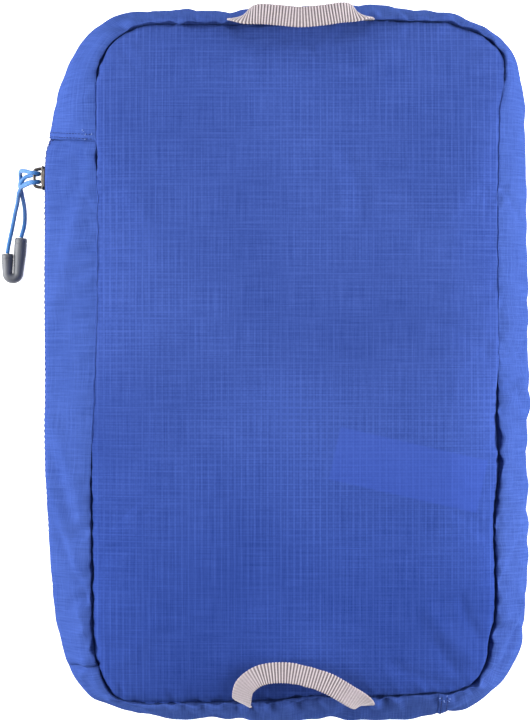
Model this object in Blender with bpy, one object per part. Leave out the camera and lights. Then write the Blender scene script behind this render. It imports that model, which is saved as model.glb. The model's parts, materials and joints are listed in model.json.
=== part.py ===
"""A soft packing cube with an L-shaped zip, lying on its back panel.

X runs across the bag, Y along its length towards the top handle, and Z up out of the front panel.
The origin is on the surface that the bag rests on, below the middle of its box. Cloth walls are
modelled thicker than the real ripstop, so that each is a sound solid.
"""
import math

import bmesh
import bpy
from mathutils import Matrix, Vector

for old in list(bpy.data.objects):
    bpy.data.objects.remove(old, do_unlink=True)

# Driving dimensions, in metres -------------------------------------------------------------------
SHELL_X = 0.0032  # the cloth body stands this far right of the origin, the slider being on its left
SEAM_Z = 0.070  # height of the seam round the front panel
CROWN = 0.011  # how far the filled front panel domes above that seam
CLOTH = 0.0012  # wall thickness
GAP = 0.0003  # between pieces that touch
# How far each side of the body reaches: at the front seam, at the back seam, and at its widest
FRONT = {"left": -0.0950, "right": 0.1055, "top": 0.1677, "bottom": -0.1665}
BACK = {"left": -0.1040, "right": 0.1060, "top": 0.1660, "bottom": -0.1660}
WIDE = {"left": -0.1205, "right": 0.1205, "top": 0.1768, "bottom": -0.1762}
# Where the straight stretch of each side ends and its rounded corner starts
STRAIGHT_LEFT, STRAIGHT_RIGHT, STRAIGHT_Y = -0.062, 0.076, 0.126
BULGE_POWER = 0.75  # below 1 the walls belly out quickly above a seam
CORNER_POWER = 2.0  # 2 is an ellipse
SEAM_CORNER_POWER = 2.35  # the seams' corners are a little squarer
PER_STRETCH = 8  # points along each straight side and each corner

ZIP_Z = 0.035  # height of the zip line
ZIP_END_LEFT_Y = 0.112  # cross seam on the left side
ZIP_END_BOTTOM_X = 0.0745  # cross seam on the bottom
ZIP_WINDOW = 0.016  # height of the zip tape that shows between the two gusset strips
TAPE_HIDDEN = 0.0025  # how far the tape runs on behind each strip
TAPE = 0.0008  # tape thickness
TAPE_INSET = CLOTH + 0.0005  # from the wall's outer face to the tape's
COIL_HIGH, COIL_THICK = 0.0016, 0.0013  # one half of the closed chain
CHAIN_SLOT = 0.0014  # between the two tapes' edges, where the slider's post runs

SLIDER_Y = 0.0925  # middle of the slider at rest, zip closed
SLIDER_LONG, SLIDER_WIDE = 0.0120, 0.0082
PLATE = 0.0013
BRIDGE_LONG, BRIDGE_BAR, BRIDGE_WIDE = 0.0100, 0.0015, 0.0018
BRIDGE_CLEAR = 0.0032  # from the slider's plate to the bridge's bar

CORD_D = 0.00215
GRIP_D = 0.0065
WEB_WIDE, WEB_THICK = 0.0100, 0.0012
FOLD_Z = SEAM_Z + CROWN + 0.0005  # the flap folds just over the crown


# Small helpers -----------------------------------------------------------------------------------
def material(name, colour, roughness, metallic=0.0):
    made = bpy.data.materials.new(name)
    made.use_nodes = True
    shader = made.node_tree.nodes["Principled BSDF"]
    shader.inputs["Base Color"].default_value = (*colour, 1)
    shader.inputs["Roughness"].default_value = roughness
    shader.inputs["Metallic"].default_value = metallic
    return made


BLUE = (0.050, 0.110, 0.480)
WEB_GREY = (0.400, 0.350, 0.370)


def finish(name, bm, colour, roughness=0.8, metallic=0.0, smooth=True, origin=(0, 0, 0)):
    """Turn a closed bmesh into an object whose origin is at a given place."""
    bmesh.ops.remove_doubles(bm, verts=bm.verts, dist=1e-6)
    bmesh.ops.recalc_face_normals(bm, faces=bm.faces)
    bmesh.ops.translate(bm, verts=bm.verts, vec=-Vector(origin))
    mesh = bpy.data.meshes.new(name)
    bm.to_mesh(mesh)
    bm.free()
    if smooth:
        mesh.shade_smooth()
        mesh.set_sharp_from_angle(angle=math.radians(40))
    made = bpy.data.objects.new(name, mesh)
    made.location = origin
    bpy.context.collection.objects.link(made)
    made.data.materials.append(material(name, colour, roughness, metallic))
    return made


def as_tool(made):
    """Mark an object as a cutter or a piece to unite, which isn't a part of its own."""
    made.hide_render = True
    made.display_type = "WIRE"
    return made


def boolean(target, tool, operation):
    step = target.modifiers.new(operation.title(), "BOOLEAN")
    step.operation = operation
    step.object = tool


def grid_solid(bm, outer, inner, closed):
    """A closed solid between two grids of points. closed joins the first column to the last."""
    rows = [[[bm.verts.new(p) for p in column] for column in grid] for grid in (outer, inner)]
    columns, high = len(outer), len(outer[0])
    for i in range(columns if closed else columns - 1):
        k = (i + 1) % columns
        for j in range(high - 1):
            bm.faces.new((rows[0][i][j], rows[0][k][j], rows[0][k][j + 1], rows[0][i][j + 1]))
            bm.faces.new((rows[1][i][j], rows[1][i][j + 1], rows[1][k][j + 1], rows[1][k][j]))
        for j in (0, high - 1):
            bm.faces.new((rows[0][i][j], rows[1][i][j], rows[1][k][j], rows[0][k][j]))
    if not closed:
        for i in (0, columns - 1):
            for j in range(high - 1):
                bm.faces.new(
                    (rows[0][i][j], rows[0][i][j + 1], rows[1][i][j + 1], rows[1][i][j])
                )


# The body's shape --------------------------------------------------------------------------------
def reach(side, t, inset):
    """How far one side stands out at the share t of the seams' height, inset from its surface."""
    seam = BACK[side] + (FRONT[side] - BACK[side]) * t
    middle = (BACK[side] + FRONT[side]) / 2
    out = seam + (WIDE[side] - middle) * math.sin(math.pi * t) ** BULGE_POWER
    return out - math.copysign(inset, out)


def outline(u, t, inset=0.0):
    """A point of the body's wall. u runs 0 to 8 round it: a straight side, a corner, and so on,
    starting at the upper end of the left side and going down it."""
    left, right = reach("left", t, inset), reach("right", t, inset)
    top, bottom = reach("top", t, inset), reach("bottom", t, inset)
    squareness = abs(2 * t - 1) ** 2
    power = 2 / (CORNER_POWER + (SEAM_CORNER_POWER - CORNER_POWER) * squareness)
    stretch, share = int(u % 8), u % 1
    turn = share * math.pi / 2
    early, late = max(math.cos(turn), 0) ** power, max(math.sin(turn), 0) ** power
    sx0, sx1, sy = STRAIGHT_LEFT, STRAIGHT_RIGHT, STRAIGHT_Y
    x, y = (
        (left, sy - 2 * sy * share),
        (sx0 + (left - sx0) * early, -sy + (bottom + sy) * late),
        (sx0 + (sx1 - sx0) * share, bottom),
        (sx1 + (right - sx1) * late, -sy + (bottom + sy) * early),
        (right, -sy + 2 * sy * share),
        (sx1 + (right - sx1) * early, sy + (top - sy) * late),
        (sx1 + (sx0 - sx1) * share, top),
        (sx0 + (left - sx0) * late, sy + (top - sy) * early),
    )[stretch]
    return Vector((x + SHELL_X, y, SEAM_Z * t))


def places(first, last):
    """Values of u from first to last, with a point at every regular place between them."""
    inner = range(math.floor(first * PER_STRETCH) + 1, math.ceil(last * PER_STRETCH))
    return [first] + [k / PER_STRETCH for k in inner] + [last]


def levels(low, high, count):
    return [low + (high - low) * k / (count - 1) for k in range(count)]


def wall_levels(low, high, count):
    """Levels that lie closer together near the seams, where the wall curves most."""
    first, last = math.acos(1 - 2 * low), math.acos(1 - 2 * high)
    return [(1 - math.cos(angle)) / 2 for angle in levels(first, last, count)]


def band(name, along, heights, inset, thick, closed=False, colour=BLUE, roughness=0.8):
    """A strip of cloth or tape that follows the wall."""
    bm = bmesh.new()
    outer = [[outline(u, t, inset) for t in heights] for u in along]
    inner = [[outline(u, t, inset + thick) for t in heights] for u in along]
    grid_solid(bm, outer, inner, closed)
    return finish(name, bm, colour, roughness)


# u of the zip's two ends, and of a clearance of GAP past them
END_LEFT = (STRAIGHT_Y - ZIP_END_LEFT_Y) / (2 * STRAIGHT_Y)
END_BOTTOM = 2 + (ZIP_END_BOTTOM_X - STRAIGHT_LEFT) / (STRAIGHT_RIGHT - STRAIGHT_LEFT)
CLEAR_LEFT = GAP / (2 * STRAIGHT_Y)
CLEAR_BOTTOM = GAP / (STRAIGHT_RIGHT - STRAIGHT_LEFT)
ROUND = [k / PER_STRETCH for k in range(8 * PER_STRETCH)]
ZIP_RUN = places(END_LEFT + CLEAR_LEFT, END_BOTTOM - CLEAR_BOTTOM)
PLAIN_RUN = places(END_BOTTOM + CLEAR_BOTTOM, 8 + END_LEFT - CLEAR_LEFT)

# The fold line runs across the front seam between the zip's two ends
FOLD_A = Vector((FRONT["left"] + SHELL_X, ZIP_END_LEFT_Y, FOLD_Z))
FOLD_B = Vector((ZIP_END_BOTTOM_X + SHELL_X, FRONT["bottom"], FOLD_Z))
FOLD = (FOLD_B - FOLD_A).normalized()
FOLD_OUT = Vector((FOLD.y, -FOLD.x, 0))  # level, towards the corner that opens


# Cloth walls -------------------------------------------------------------------------------------
def panel_height(share):
    """The front panel's height at a share of the way from its middle to its seam."""
    return SEAM_Z + CROWN * (1 - share**2.4)


def front_cloth(name):
    """The whole domed front panel, before it is parted along the fold."""
    middle = Vector((SHELL_X + (FRONT["left"] + FRONT["right"]) / 2, 0, 0))
    shares = [1, 0.95, 0.86, 0.74, 0.60, 0.45, 0.30, 0.15]
    bm = bmesh.new()
    layers = []
    for drop in (0, CLOTH):
        rings = []
        for share in shares:
            ring = []
            for u in ROUND:
                flat = middle + (outline(u, 1) - middle) * share
                ring.append(bm.verts.new((flat.x, flat.y, panel_height(share) - drop)))
            rings.append(ring)
        tip = bm.verts.new((middle.x, middle.y, panel_height(0) - drop))
        layers.append((rings, tip))
    count = len(ROUND)
    for rings, tip in layers:
        for a, b in zip(rings, rings[1:]):
            for i in range(count):
                k = (i + 1) % count
                bm.faces.new((a[i], a[k], b[k], b[i]))
        for i in range(count):
            bm.faces.new((rings[-1][i], rings[-1][(i + 1) % count], tip))
    upper, lower = layers[0][0][0], layers[1][0][0]
    for i in range(count):
        k = (i + 1) % count
        bm.faces.new((upper[i], upper[k], lower[k], lower[i]))
    return finish(name, bm, BLUE)


def half_space(name, side):
    """A block that holds everything on one side of the fold: 1 is the corner that opens."""
    far = 0.6
    near = FOLD_OUT * (side * GAP)
    corners = []
    for along, out in ((-far, 0), (far, 0), (far, far), (-far, far)):
        corners.append(FOLD_A + FOLD * along + near + FOLD_OUT * (side * out))
    bm = bmesh.new()
    floor = [bm.verts.new((p.x, p.y, -0.1)) for p in corners]
    roof = [bm.verts.new((p.x, p.y, 0.2)) for p in corners]
    bm.faces.new(floor)
    bm.faces.new(roof)
    for i in range(4):
        k = (i + 1) % 4
        bm.faces.new((floor[i], floor[k], roof[k], roof[i]))
    return as_tool(finish(name, bm, BLUE, smooth=False))


def front_panels():
    for name, side in (("front_panel", -1), ("flap_panel", 1)):
        cloth = front_cloth(name)
        boolean(cloth, half_space(name + "_side", side), "INTERSECT")


def back_panel():
    bm = bmesh.new()
    edge = 0.0018  # the back panel stops this far inside its seam
    layers = []
    for z in (0, CLOTH):
        layers.append([bm.verts.new((*outline(u, 0, edge).xy, z)) for u in ROUND])
    for layer in layers:
        bm.faces.new(layer)
    for i in range(len(ROUND)):
        k = (i + 1) % len(ROUND)
        bm.faces.new((layers[0][i], layers[0][k], layers[1][k], layers[1][i]))
    return finish("back_panel", bm, BLUE, smooth=False)


def gussets():
    low, high = 0.004, 0.980
    zip_low = (ZIP_Z - ZIP_WINDOW / 2) / SEAM_Z
    zip_high = (ZIP_Z + ZIP_WINDOW / 2) / SEAM_Z
    band("hinge_gusset", PLAIN_RUN, wall_levels(low, high, 11), 0, CLOTH)
    band("lower_gusset", ZIP_RUN, wall_levels(low, zip_low, 6), 0, CLOTH)
    band("flap_gusset", ZIP_RUN, wall_levels(zip_high, high, 6), 0, CLOTH)


def bindings():
    """Folded tape round the raw edges of the seams, inside the bag."""
    inset = CLOTH + 0.0016
    thick, tall = 0.0012, 0.085  # tall is a share of the seams' height
    back_low, front_high = 0.035, 0.965
    clear = 0.012  # in u: these stop short of the fold
    front = levels(front_high - tall, front_high, 2)
    band("back_binding", ROUND, levels(back_low, back_low + tall, 2), inset, thick, closed=True)
    flap_run = places(END_LEFT + clear, END_BOTTOM - clear)
    fixed_run = places(END_BOTTOM + clear, 8 + END_LEFT - clear)
    band("flap_binding", flap_run, front, inset, thick)
    band("front_binding", fixed_run, front, inset, thick)
    # the two cross seams, where the zip's ends are sewn into the plain gusset
    cross_long = 0.0050
    full = wall_levels(0.16, 0.84, 7)
    past = 0.0006
    left_far = cross_long / (2 * STRAIGHT_Y)
    left_near = past / (2 * STRAIGHT_Y)
    left = [8 + END_LEFT - left_far, 8 + END_LEFT - left_near]
    band("cross_binding_left", left, full, inset, thick)
    bottom_long = STRAIGHT_RIGHT - STRAIGHT_LEFT
    bottom = [END_BOTTOM + past / bottom_long, END_BOTTOM + cross_long / bottom_long]
    band("cross_binding_bottom", bottom, full, inset, thick)


def care_label():
    """A blank label in the right-hand seam, lying against the inside of the front panel."""
    along, across, thick = 0.074, 0.026, 0.0006
    tilt = math.radians(-13)
    middle = Vector((0.0592 + SHELL_X, -0.0520, 0))
    centre = Vector((SHELL_X + (FRONT["left"] + FRONT["right"]) / 2, 0, 0))
    turn = Matrix.Rotation(tilt, 3, "Z")
    columns, rows = 12, 4
    top, under = [], []
    for i in range(columns + 1):
        upper, lower = [], []
        for j in range(rows + 1):
            flat = Vector((along * (i / columns - 0.5), across * (j / rows - 0.5), 0))
            p = middle + turn @ flat
            reach_x = FRONT["right"] + SHELL_X - centre.x
            share = max(abs(p.x - centre.x) / reach_x, abs(p.y) / FRONT["top"])
            z = panel_height(share) - CLOTH - 0.0009
            upper.append(Vector((p.x, p.y, z)))
            lower.append(Vector((p.x, p.y, z - thick)))
        top.append(upper)
        under.append(lower)
    bm = bmesh.new()
    grid_solid(bm, top, under, False)
    return finish("care_label", bm, (0.75, 0.76, 0.78), 0.7)


# Zip ---------------------------------------------------------------------------------------------
def zip_chain():
    """Two tapes with half a coil on the outer face of each, along the L of the zip."""
    coil_inset = TAPE_INSET - GAP - COIL_THICK
    reach_out = ZIP_WINDOW / 2 + TAPE_HIDDEN
    edge = CHAIN_SLOT / 2
    for half, sign in (("lower", -1), ("upper", 1)):
        tape = sorted((ZIP_Z + sign * edge, ZIP_Z + sign * reach_out))
        coil = sorted((ZIP_Z + sign * edge, ZIP_Z + sign * (edge + COIL_HIGH)))
        heights = levels(tape[0] / SEAM_Z, tape[1] / SEAM_Z, 3)
        band("tape_" + half, ZIP_RUN, heights, TAPE_INSET, TAPE, roughness=0.7)
        heights = [coil[0] / SEAM_Z, coil[1] / SEAM_Z]
        band("coil_" + half, ZIP_RUN, heights, coil_inset, COIL_THICK, roughness=0.4)


def prism(name, profile, axis, low, high, colour, roughness, metallic, bevel=0.0):
    """Extrude a closed 2-D profile along Y or Z; profile points are the other two coordinates."""
    bm = bmesh.new()
    ends = []
    for level in (low, high):
        if axis == "Y":
            ends.append([bm.verts.new((a, level, b)) for a, b in profile])
        else:
            ends.append([bm.verts.new((a, b, level)) for a, b in profile])
    for end in ends:
        bm.faces.new(end)
    for i in range(len(profile)):
        k = (i + 1) % len(profile)
        bm.faces.new((ends[0][i], ends[0][k], ends[1][k], ends[1][i]))
    bmesh.ops.recalc_face_normals(bm, faces=bm.faces)
    if bevel:
        bmesh.ops.bevel(
            bm, geom=bm.edges[:], offset=bevel, segments=2, affect="EDGES", clamp_overlap=True
        )
    return finish(name, bm, colour, roughness, metallic)


WALL_X = WIDE["left"] + SHELL_X  # outer face of the wall, level with the chain
PLATE_X = WALL_X - 0.0005  # inner face of the slider's outer plate
BAR_X = PLATE_X - PLATE - BRIDGE_CLEAR - BRIDGE_BAR / 2  # middle of the bridge's bar


def slider():
    """Two plates joined by a thin post between the half chains, and a bridge for the pull."""
    metal = ((0.42, 0.42, 0.43), 0.35, 1.0)
    half, lip, reach_in = SLIDER_WIDE / 2, 0.0006, 0.0012
    y0, y1 = SLIDER_Y - SLIDER_LONG / 2, SLIDER_Y + SLIDER_LONG / 2
    out = PLATE_X - PLATE
    outer = [
        (out, ZIP_Z - half),
        (out, ZIP_Z + half),
        (PLATE_X + reach_in, ZIP_Z + half),
        (PLATE_X + reach_in, ZIP_Z + half - lip),
        (PLATE_X, ZIP_Z + half - lip),
        (PLATE_X, ZIP_Z - half + lip),
        (PLATE_X + reach_in, ZIP_Z - half + lip),
        (PLATE_X + reach_in, ZIP_Z - half),
    ]
    body = prism("slider_body", outer, "Y", y0, y1, *metal)
    inner_x = WALL_X + TAPE_INSET + TAPE + 0.0009  # clear of the tapes' slightly bowed face
    inner = [
        (inner_x, ZIP_Z - half),
        (inner_x, ZIP_Z + half),
        (inner_x + PLATE, ZIP_Z + half),
        (inner_x + PLATE, ZIP_Z - half),
    ]
    post_half = CHAIN_SLOT / 2 - GAP
    post = [
        (PLATE_X - PLATE / 2, ZIP_Z - post_half),
        (PLATE_X - PLATE / 2, ZIP_Z + post_half),
        (inner_x + PLATE / 2, ZIP_Z + post_half),
        (inner_x + PLATE / 2, ZIP_Z - post_half),
    ]
    post_long = 0.0050
    b0, b1 = SLIDER_Y - BRIDGE_LONG / 2, SLIDER_Y + BRIDGE_LONG / 2
    leg, root = 0.0016, PLATE / 2
    bar_out = BAR_X - BRIDGE_BAR / 2
    bar_in = BAR_X + BRIDGE_BAR / 2
    chamfer = 0.0011
    arch = [
        (out + root, b0),
        (bar_out + chamfer, b0),
        (bar_out, b0 + chamfer),
        (bar_out, b1 - chamfer),
        (bar_out + chamfer, b1),
        (out + root, b1),
        (out + root, b1 - leg),
        (bar_in, b1 - leg),
        (bar_in, b0 + leg),
        (out + root, b0 + leg),
    ]
    tools = [
        prism("slider_inner", inner, "Y", y0 + 0.001, y1 - 0.001, *metal),
        prism("slider_post", post, "Y", y1 - post_long, y1 - 0.0015, *metal),
        prism(
            "slider_bridge",
            arch,
            "Z",
            ZIP_Z - BRIDGE_WIDE / 2,
            ZIP_Z + BRIDGE_WIDE / 2,
            *metal,
            bevel=0.0003,
        ),
    ]
    for tool in tools:
        boolean(body, as_tool(tool), "UNION")


# Pull --------------------------------------------------------------------------------------------
GRIP_Z = GRIP_D / 2 + 0.0001  # the grip lies on the surface beside the bag
GRIP_ARMS = ((-0.1422, 0.0556), (-0.1352, 0.0637))  # x and upper end y of its two arms
GRIP_BEND_Y = 0.0459  # where the arms meet the round end
GRIP_LEAN = 0.0014  # the longer arm leans this far towards the other at the bend
GRIP_SQUEEZE = 0.82  # how flat the section is there, so that the two arms keep a gap between them


def cord_route():
    """The cord's middle line: up from one arm of the grip, through the hitch's eye, round the
    bridge's bar, through the eye's bight, round the bar again, and down to the other arm."""
    wrap = BRIDGE_BAR / 2 + CORD_D / 2 + 0.0005  # radius of the turn round the bar
    hitch = []
    for y, way in ((SLIDER_Y - 0.0016, 1), (SLIDER_Y + 0.0018, -1)):
        arc = []
        for degrees in range(-75, 166, 30):
            a = math.radians(degrees)
            slip = -way * 0.0010 * (degrees + 75) / 240
            arc.append((BAR_X + wrap * math.cos(a), y + slip, ZIP_Z + wrap * math.sin(a)))
        hitch.append(arc if way == 1 else arc[::-1])
    x, y = BAR_X, SLIDER_Y
    up = [
        (GRIP_ARMS[0][0] + SHELL_X, GRIP_ARMS[0][1] + GAP, GRIP_Z),
        (GRIP_ARMS[0][0] + SHELL_X + 0.0008, 0.0610, 0.0028),
        (GRIP_ARMS[0][0] + SHELL_X + 0.0024, 0.0680, 0.0038),
        (GRIP_ARMS[0][0] + SHELL_X + 0.0042, 0.0750, 0.0090),
        (x - 0.0098, y - 0.0110, 0.0165),
        (x - 0.0086, y - 0.0065, 0.0232),
        (x - 0.0058, y - 0.0030, 0.0272),
        (x - 0.0026, y - 0.0018, 0.0298),
    ]
    bight = [
        (x - 0.0046, y - 0.0034, ZIP_Z - 0.0026),
        (x - 0.0073, y - 0.0042, ZIP_Z - 0.0068),
        (x - 0.0081, y - 0.0032, ZIP_Z - 0.0108),
        (x - 0.0078, y - 0.0002, ZIP_Z - 0.0128),
        (x - 0.0079, y + 0.0028, ZIP_Z - 0.0112),
        (x - 0.0072, y + 0.0040, ZIP_Z - 0.0072),
        (x - 0.0046, y + 0.0036, ZIP_Z - 0.0026),
    ]
    down = [
        (x - 0.0026, y + 0.0014, 0.0300),
        (x - 0.0056, y + 0.0004, 0.0274),
        (x - 0.0078, y - 0.0032, 0.0243),
        (x - 0.0073, y - 0.0080, 0.0188),
        (x - 0.0068, y - 0.0135, 0.0112),
        (x - 0.0070, y - 0.0185, 0.0050),
        (x - 0.0076, y - 0.0230, 0.0028),
        (GRIP_ARMS[1][0] + SHELL_X, GRIP_ARMS[1][1] + GAP, GRIP_Z),
    ]
    return [Vector(p) for p in up + hitch[0] + bight + hitch[1] + down]


def smooth_line(points, count):
    """count points evenly spaced along a smooth curve through the given ones."""
    dense = []
    ends = [points[0] * 2 - points[1]] + points + [points[-1] * 2 - points[-2]]
    for a, b, c, d in zip(ends, ends[1:], ends[2:], ends[3:]):
        for k in range(12):
            s = k / 12
            dense.append(
                0.5
                * (
                    2 * b
                    + (c - a) * s
                    + (2 * a - 5 * b + 4 * c - d) * s**2
                    + (3 * b - a - 3 * c + d) * s**3
                )
            )
    dense.append(points[-1])
    far = [0.0]
    for a, b in zip(dense, dense[1:]):
        far.append(far[-1] + (b - a).length)
    line, at = [], 0
    for k in range(count):
        want = far[-1] * k / (count - 1)
        while at < len(far) - 2 and far[at + 1] < want:
            at += 1
        share = (want - far[at]) / max(far[at + 1] - far[at], 1e-12)
        line.append(dense[at].lerp(dense[at + 1], share))
    return line


def pull_cord():
    line = smooth_line(cord_route(), 78)
    curve = bpy.data.curves.new("pull_cord", "CURVE")
    curve.dimensions = "3D"
    spline = curve.splines.new("POLY")
    spline.points.add(len(line) - 1)
    pivot = Vector((BAR_X, SLIDER_Y, ZIP_Z))
    for point, place in zip(spline.points, line):
        point.co = (*(place - pivot), 1)
    curve.bevel_depth = CORD_D / 2
    curve.bevel_resolution = 2
    curve.use_fill_caps = True
    made = bpy.data.objects.new("pull_cord", curve)
    made.location = pivot
    bpy.context.collection.objects.link(made)
    curve.materials.append(material("pull_cord", (0.045, 0.260, 0.700), 0.6))
    return made


def pull_grip():
    """A moulded U that holds both ends of the cord."""
    (x0, top0), (x1, top1) = GRIP_ARMS
    x2 = x1 - GRIP_LEAN
    middle, radius = (x0 + x2) / 2, (x2 - x0) / 2
    path = [Vector((x0, top0, GRIP_Z)), Vector((x0, (top0 + GRIP_BEND_Y) / 2, GRIP_Z))]
    flat = [1.0, (1 + GRIP_SQUEEZE) / 2]
    for k in range(9):
        a = math.pi * (1 + k / 8)
        path.append(
            Vector((middle + radius * math.cos(a), GRIP_BEND_Y + radius * math.sin(a), GRIP_Z))
        )
        flat.append(GRIP_SQUEEZE)
    path.append(Vector(((x1 + x2) / 2, (top1 + GRIP_BEND_Y) / 2, GRIP_Z)))
    path.append(Vector((x1, top1, GRIP_Z)))
    flat += [(1 + GRIP_SQUEEZE) / 2, 1.0]
    sides, thick = 14, GRIP_D / 2
    bm = bmesh.new()
    rings = []
    for i, p in enumerate(path):
        before, after = path[max(i - 1, 0)], path[min(i + 1, len(path) - 1)]
        along = (after - before).normalized()
        out = along.cross(Vector((0, 0, 1)))
        ring = []
        for k in range(sides):
            a = 2 * math.pi * k / sides
            side = out * (math.cos(a) * thick * flat[i]) + Vector((0, 0, math.sin(a) * thick))
            ring.append(bm.verts.new(p + side + Vector((SHELL_X, 0, 0))))
        rings.append(ring)
    for a, b in zip(rings, rings[1:]):
        for i in range(sides):
            k = (i + 1) % sides
            bm.faces.new((a[i], a[k], b[k], b[i]))
    bm.faces.new(rings[0])
    bm.faces.new(rings[-1])
    origin = (BAR_X, SLIDER_Y, ZIP_Z)
    return finish("pull_grip", bm, (0.115, 0.115, 0.150), 0.55, origin=origin)


# Handles -----------------------------------------------------------------------------------------
HANDLE_AXIS_Z = SEAM_Z + 0.0014
TOP_AXIS_Y, BOTTOM_AXIS_Y = 0.1679, -0.1670


def strap(name, stations, axis_y):
    """A flat webbing strap through stations of (x, y, z, width direction x, y)."""
    centres = [Vector((x + SHELL_X, y, z)) for x, y, z, _, _ in stations]
    widths = [Vector((wx, wy, 0)) for _, _, _, wx, wy in stations]
    count = 31
    line = smooth_line(centres, count)
    across = smooth_by_distance(centres, widths, line)
    half, thick = WEB_WIDE / 2, WEB_THICK / 2
    bm = bmesh.new()
    upper, lower = [], []
    for i, p in enumerate(line):
        along = line[min(i + 1, count - 1)] - line[max(i - 1, 0)]
        along.normalize()
        wide = across[i] - along * across[i].dot(along)
        wide.normalize()
        face = along.cross(wide) * thick
        upper.append([p - wide * half + face, p + wide * half + face])
        lower.append([p - wide * half - face, p + wide * half - face])
    grid_solid(bm, upper, lower, False)
    origin = (SHELL_X, axis_y, HANDLE_AXIS_Z)
    return finish(name, bm, WEB_GREY, 0.85, origin=origin)


def smooth_by_distance(centres, widths, line):
    """The width direction at each point of a line, eased between the nearest two stations."""
    far = [0.0]
    for a, b in zip(centres, centres[1:]):
        far.append(far[-1] + (b - a).length)
    found = []
    for i in range(len(line)):
        want = far[-1] * i / (len(line) - 1)
        k = max(j for j in range(len(far)) if far[j] <= want + 1e-9)
        k = min(k, len(far) - 2)
        share = (want - far[k]) / (far[k + 1] - far[k])
        found.append(widths[k].lerp(widths[k + 1], share).normalized())
    return found


def handles():
    foot = HANDLE_AXIS_Z - 0.0001
    strap(
        "top_handle",
        [
            (-0.0244, 0.1679, foot, 1.00, 0.00),
            (-0.0238, 0.1680, 0.0755, 0.98, 0.20),
            (-0.0202, 0.1686, 0.0808, 0.76, 0.65),
            (-0.0135, 0.1692, 0.0845, 0.40, 0.92),
            (-0.0040, 0.1684, 0.0862, 0.10, 0.99),
            (0.0063, 0.1675, 0.0866, 0.00, 1.00),
            (0.0170, 0.1684, 0.0862, -0.10, 0.99),
            (0.0275, 0.1700, 0.0843, -0.40, 0.92),
            (0.0340, 0.1697, 0.0805, -0.78, 0.62),
            (0.0372, 0.1686, 0.0755, -0.98, 0.20),
            (0.0378, 0.1679, foot, -1.00, 0.00),
        ],
        TOP_AXIS_Y,
    )
    strap(
        "bottom_handle",
        [
            (-0.0222, -0.1670, foot, 1.00, 0.00),
            (-0.0226, -0.1650, 0.0752, 0.94, -0.34),
            (-0.0204, -0.1570, 0.0803, 0.72, -0.69),
            (-0.0125, -0.1512, 0.0840, 0.20, -0.98),
            (-0.0005, -0.1499, 0.0855, 0.00, -1.00),
            (0.0110, -0.1522, 0.0852, -0.05, -1.00),
            (0.0206, -0.1557, 0.0840, -0.12, -0.99),
            (0.0308, -0.1620, 0.0798, -0.50, -0.87),
            (0.0368, -0.1658, 0.0752, -0.93, -0.36),
            (0.0379, -0.1670, foot, -1.00, 0.00),
        ],
        BOTTOM_AXIS_Y,
    )


back_panel()
gussets()
front_panels()
bindings()
care_label()
zip_chain()
slider()
pull_cord()
pull_grip()
handles()
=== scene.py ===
import json
import math

import bpy
import numpy as np
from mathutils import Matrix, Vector


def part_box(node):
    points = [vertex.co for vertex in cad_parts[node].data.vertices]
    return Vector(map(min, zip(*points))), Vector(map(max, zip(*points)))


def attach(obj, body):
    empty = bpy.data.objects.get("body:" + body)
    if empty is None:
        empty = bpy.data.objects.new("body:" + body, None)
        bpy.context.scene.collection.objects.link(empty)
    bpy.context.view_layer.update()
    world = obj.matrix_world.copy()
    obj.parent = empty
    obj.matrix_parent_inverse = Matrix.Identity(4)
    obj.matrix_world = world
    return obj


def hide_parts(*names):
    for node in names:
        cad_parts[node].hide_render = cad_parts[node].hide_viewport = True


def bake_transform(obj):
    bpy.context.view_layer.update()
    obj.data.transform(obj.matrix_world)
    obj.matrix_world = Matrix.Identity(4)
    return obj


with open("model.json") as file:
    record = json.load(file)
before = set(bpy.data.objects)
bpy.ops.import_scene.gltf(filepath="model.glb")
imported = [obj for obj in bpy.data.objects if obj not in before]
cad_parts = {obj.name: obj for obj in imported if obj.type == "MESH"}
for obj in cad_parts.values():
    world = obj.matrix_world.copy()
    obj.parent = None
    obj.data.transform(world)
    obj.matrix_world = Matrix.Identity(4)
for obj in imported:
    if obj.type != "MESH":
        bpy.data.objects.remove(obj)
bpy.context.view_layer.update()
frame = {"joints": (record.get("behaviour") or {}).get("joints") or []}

# ---------------------------------------------------------------------------------------------
# Sizes, in metres. The body's outline is worked out from the CAD nodes' boxes.
# ---------------------------------------------------------------------------------------------
MM = 0.001


def union_box(*nodes):
    boxes = [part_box(n) for n in nodes]
    low = [min(b[0][k] for b in boxes) for k in range(3)]
    high = [max(b[1][k] for b in boxes) for k in range(3)]
    return Vector(low), Vector(high)


WALL_LOW, WALL_HIGH = union_box("hinge_gusset", "lower_gusset", "flap_gusset")
SEAM_LOW, SEAM_HIGH = union_box("front_panel", "flap_panel")
BACK_LOW, BACK_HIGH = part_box("back_panel")
CLOTH = 1.2 * MM  # the CAD cloth's thickness
SHELL_X = (WALL_LOW.x + WALL_HIGH.x) / 2
SEAM_Z = SEAM_LOW.z + CLOTH
CROWN = SEAM_HIGH.z - SEAM_Z
BACK_EDGE = 1.8 * MM
SIDES = ("left", "right", "top", "bottom")
FRONT = dict(zip(SIDES, (SEAM_LOW.x, SEAM_HIGH.x, SEAM_HIGH.y, SEAM_LOW.y)))
WIDE = dict(zip(SIDES, (WALL_LOW.x, WALL_HIGH.x, WALL_HIGH.y, WALL_LOW.y)))
BACK = dict(zip(SIDES, (BACK_LOW.x - BACK_EDGE, BACK_HIGH.x + BACK_EDGE,
                        BACK_HIGH.y + BACK_EDGE, BACK_LOW.y - BACK_EDGE)))
STRAIGHT_LEFT, STRAIGHT_RIGHT, STRAIGHT_Y = SHELL_X - 62 * MM, SHELL_X + 76 * MM, 126 * MM
BULGE_POWER = 0.75
SEAM_SQUARE = 2.35  # corner power at the seams; 2 is an ellipse

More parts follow.
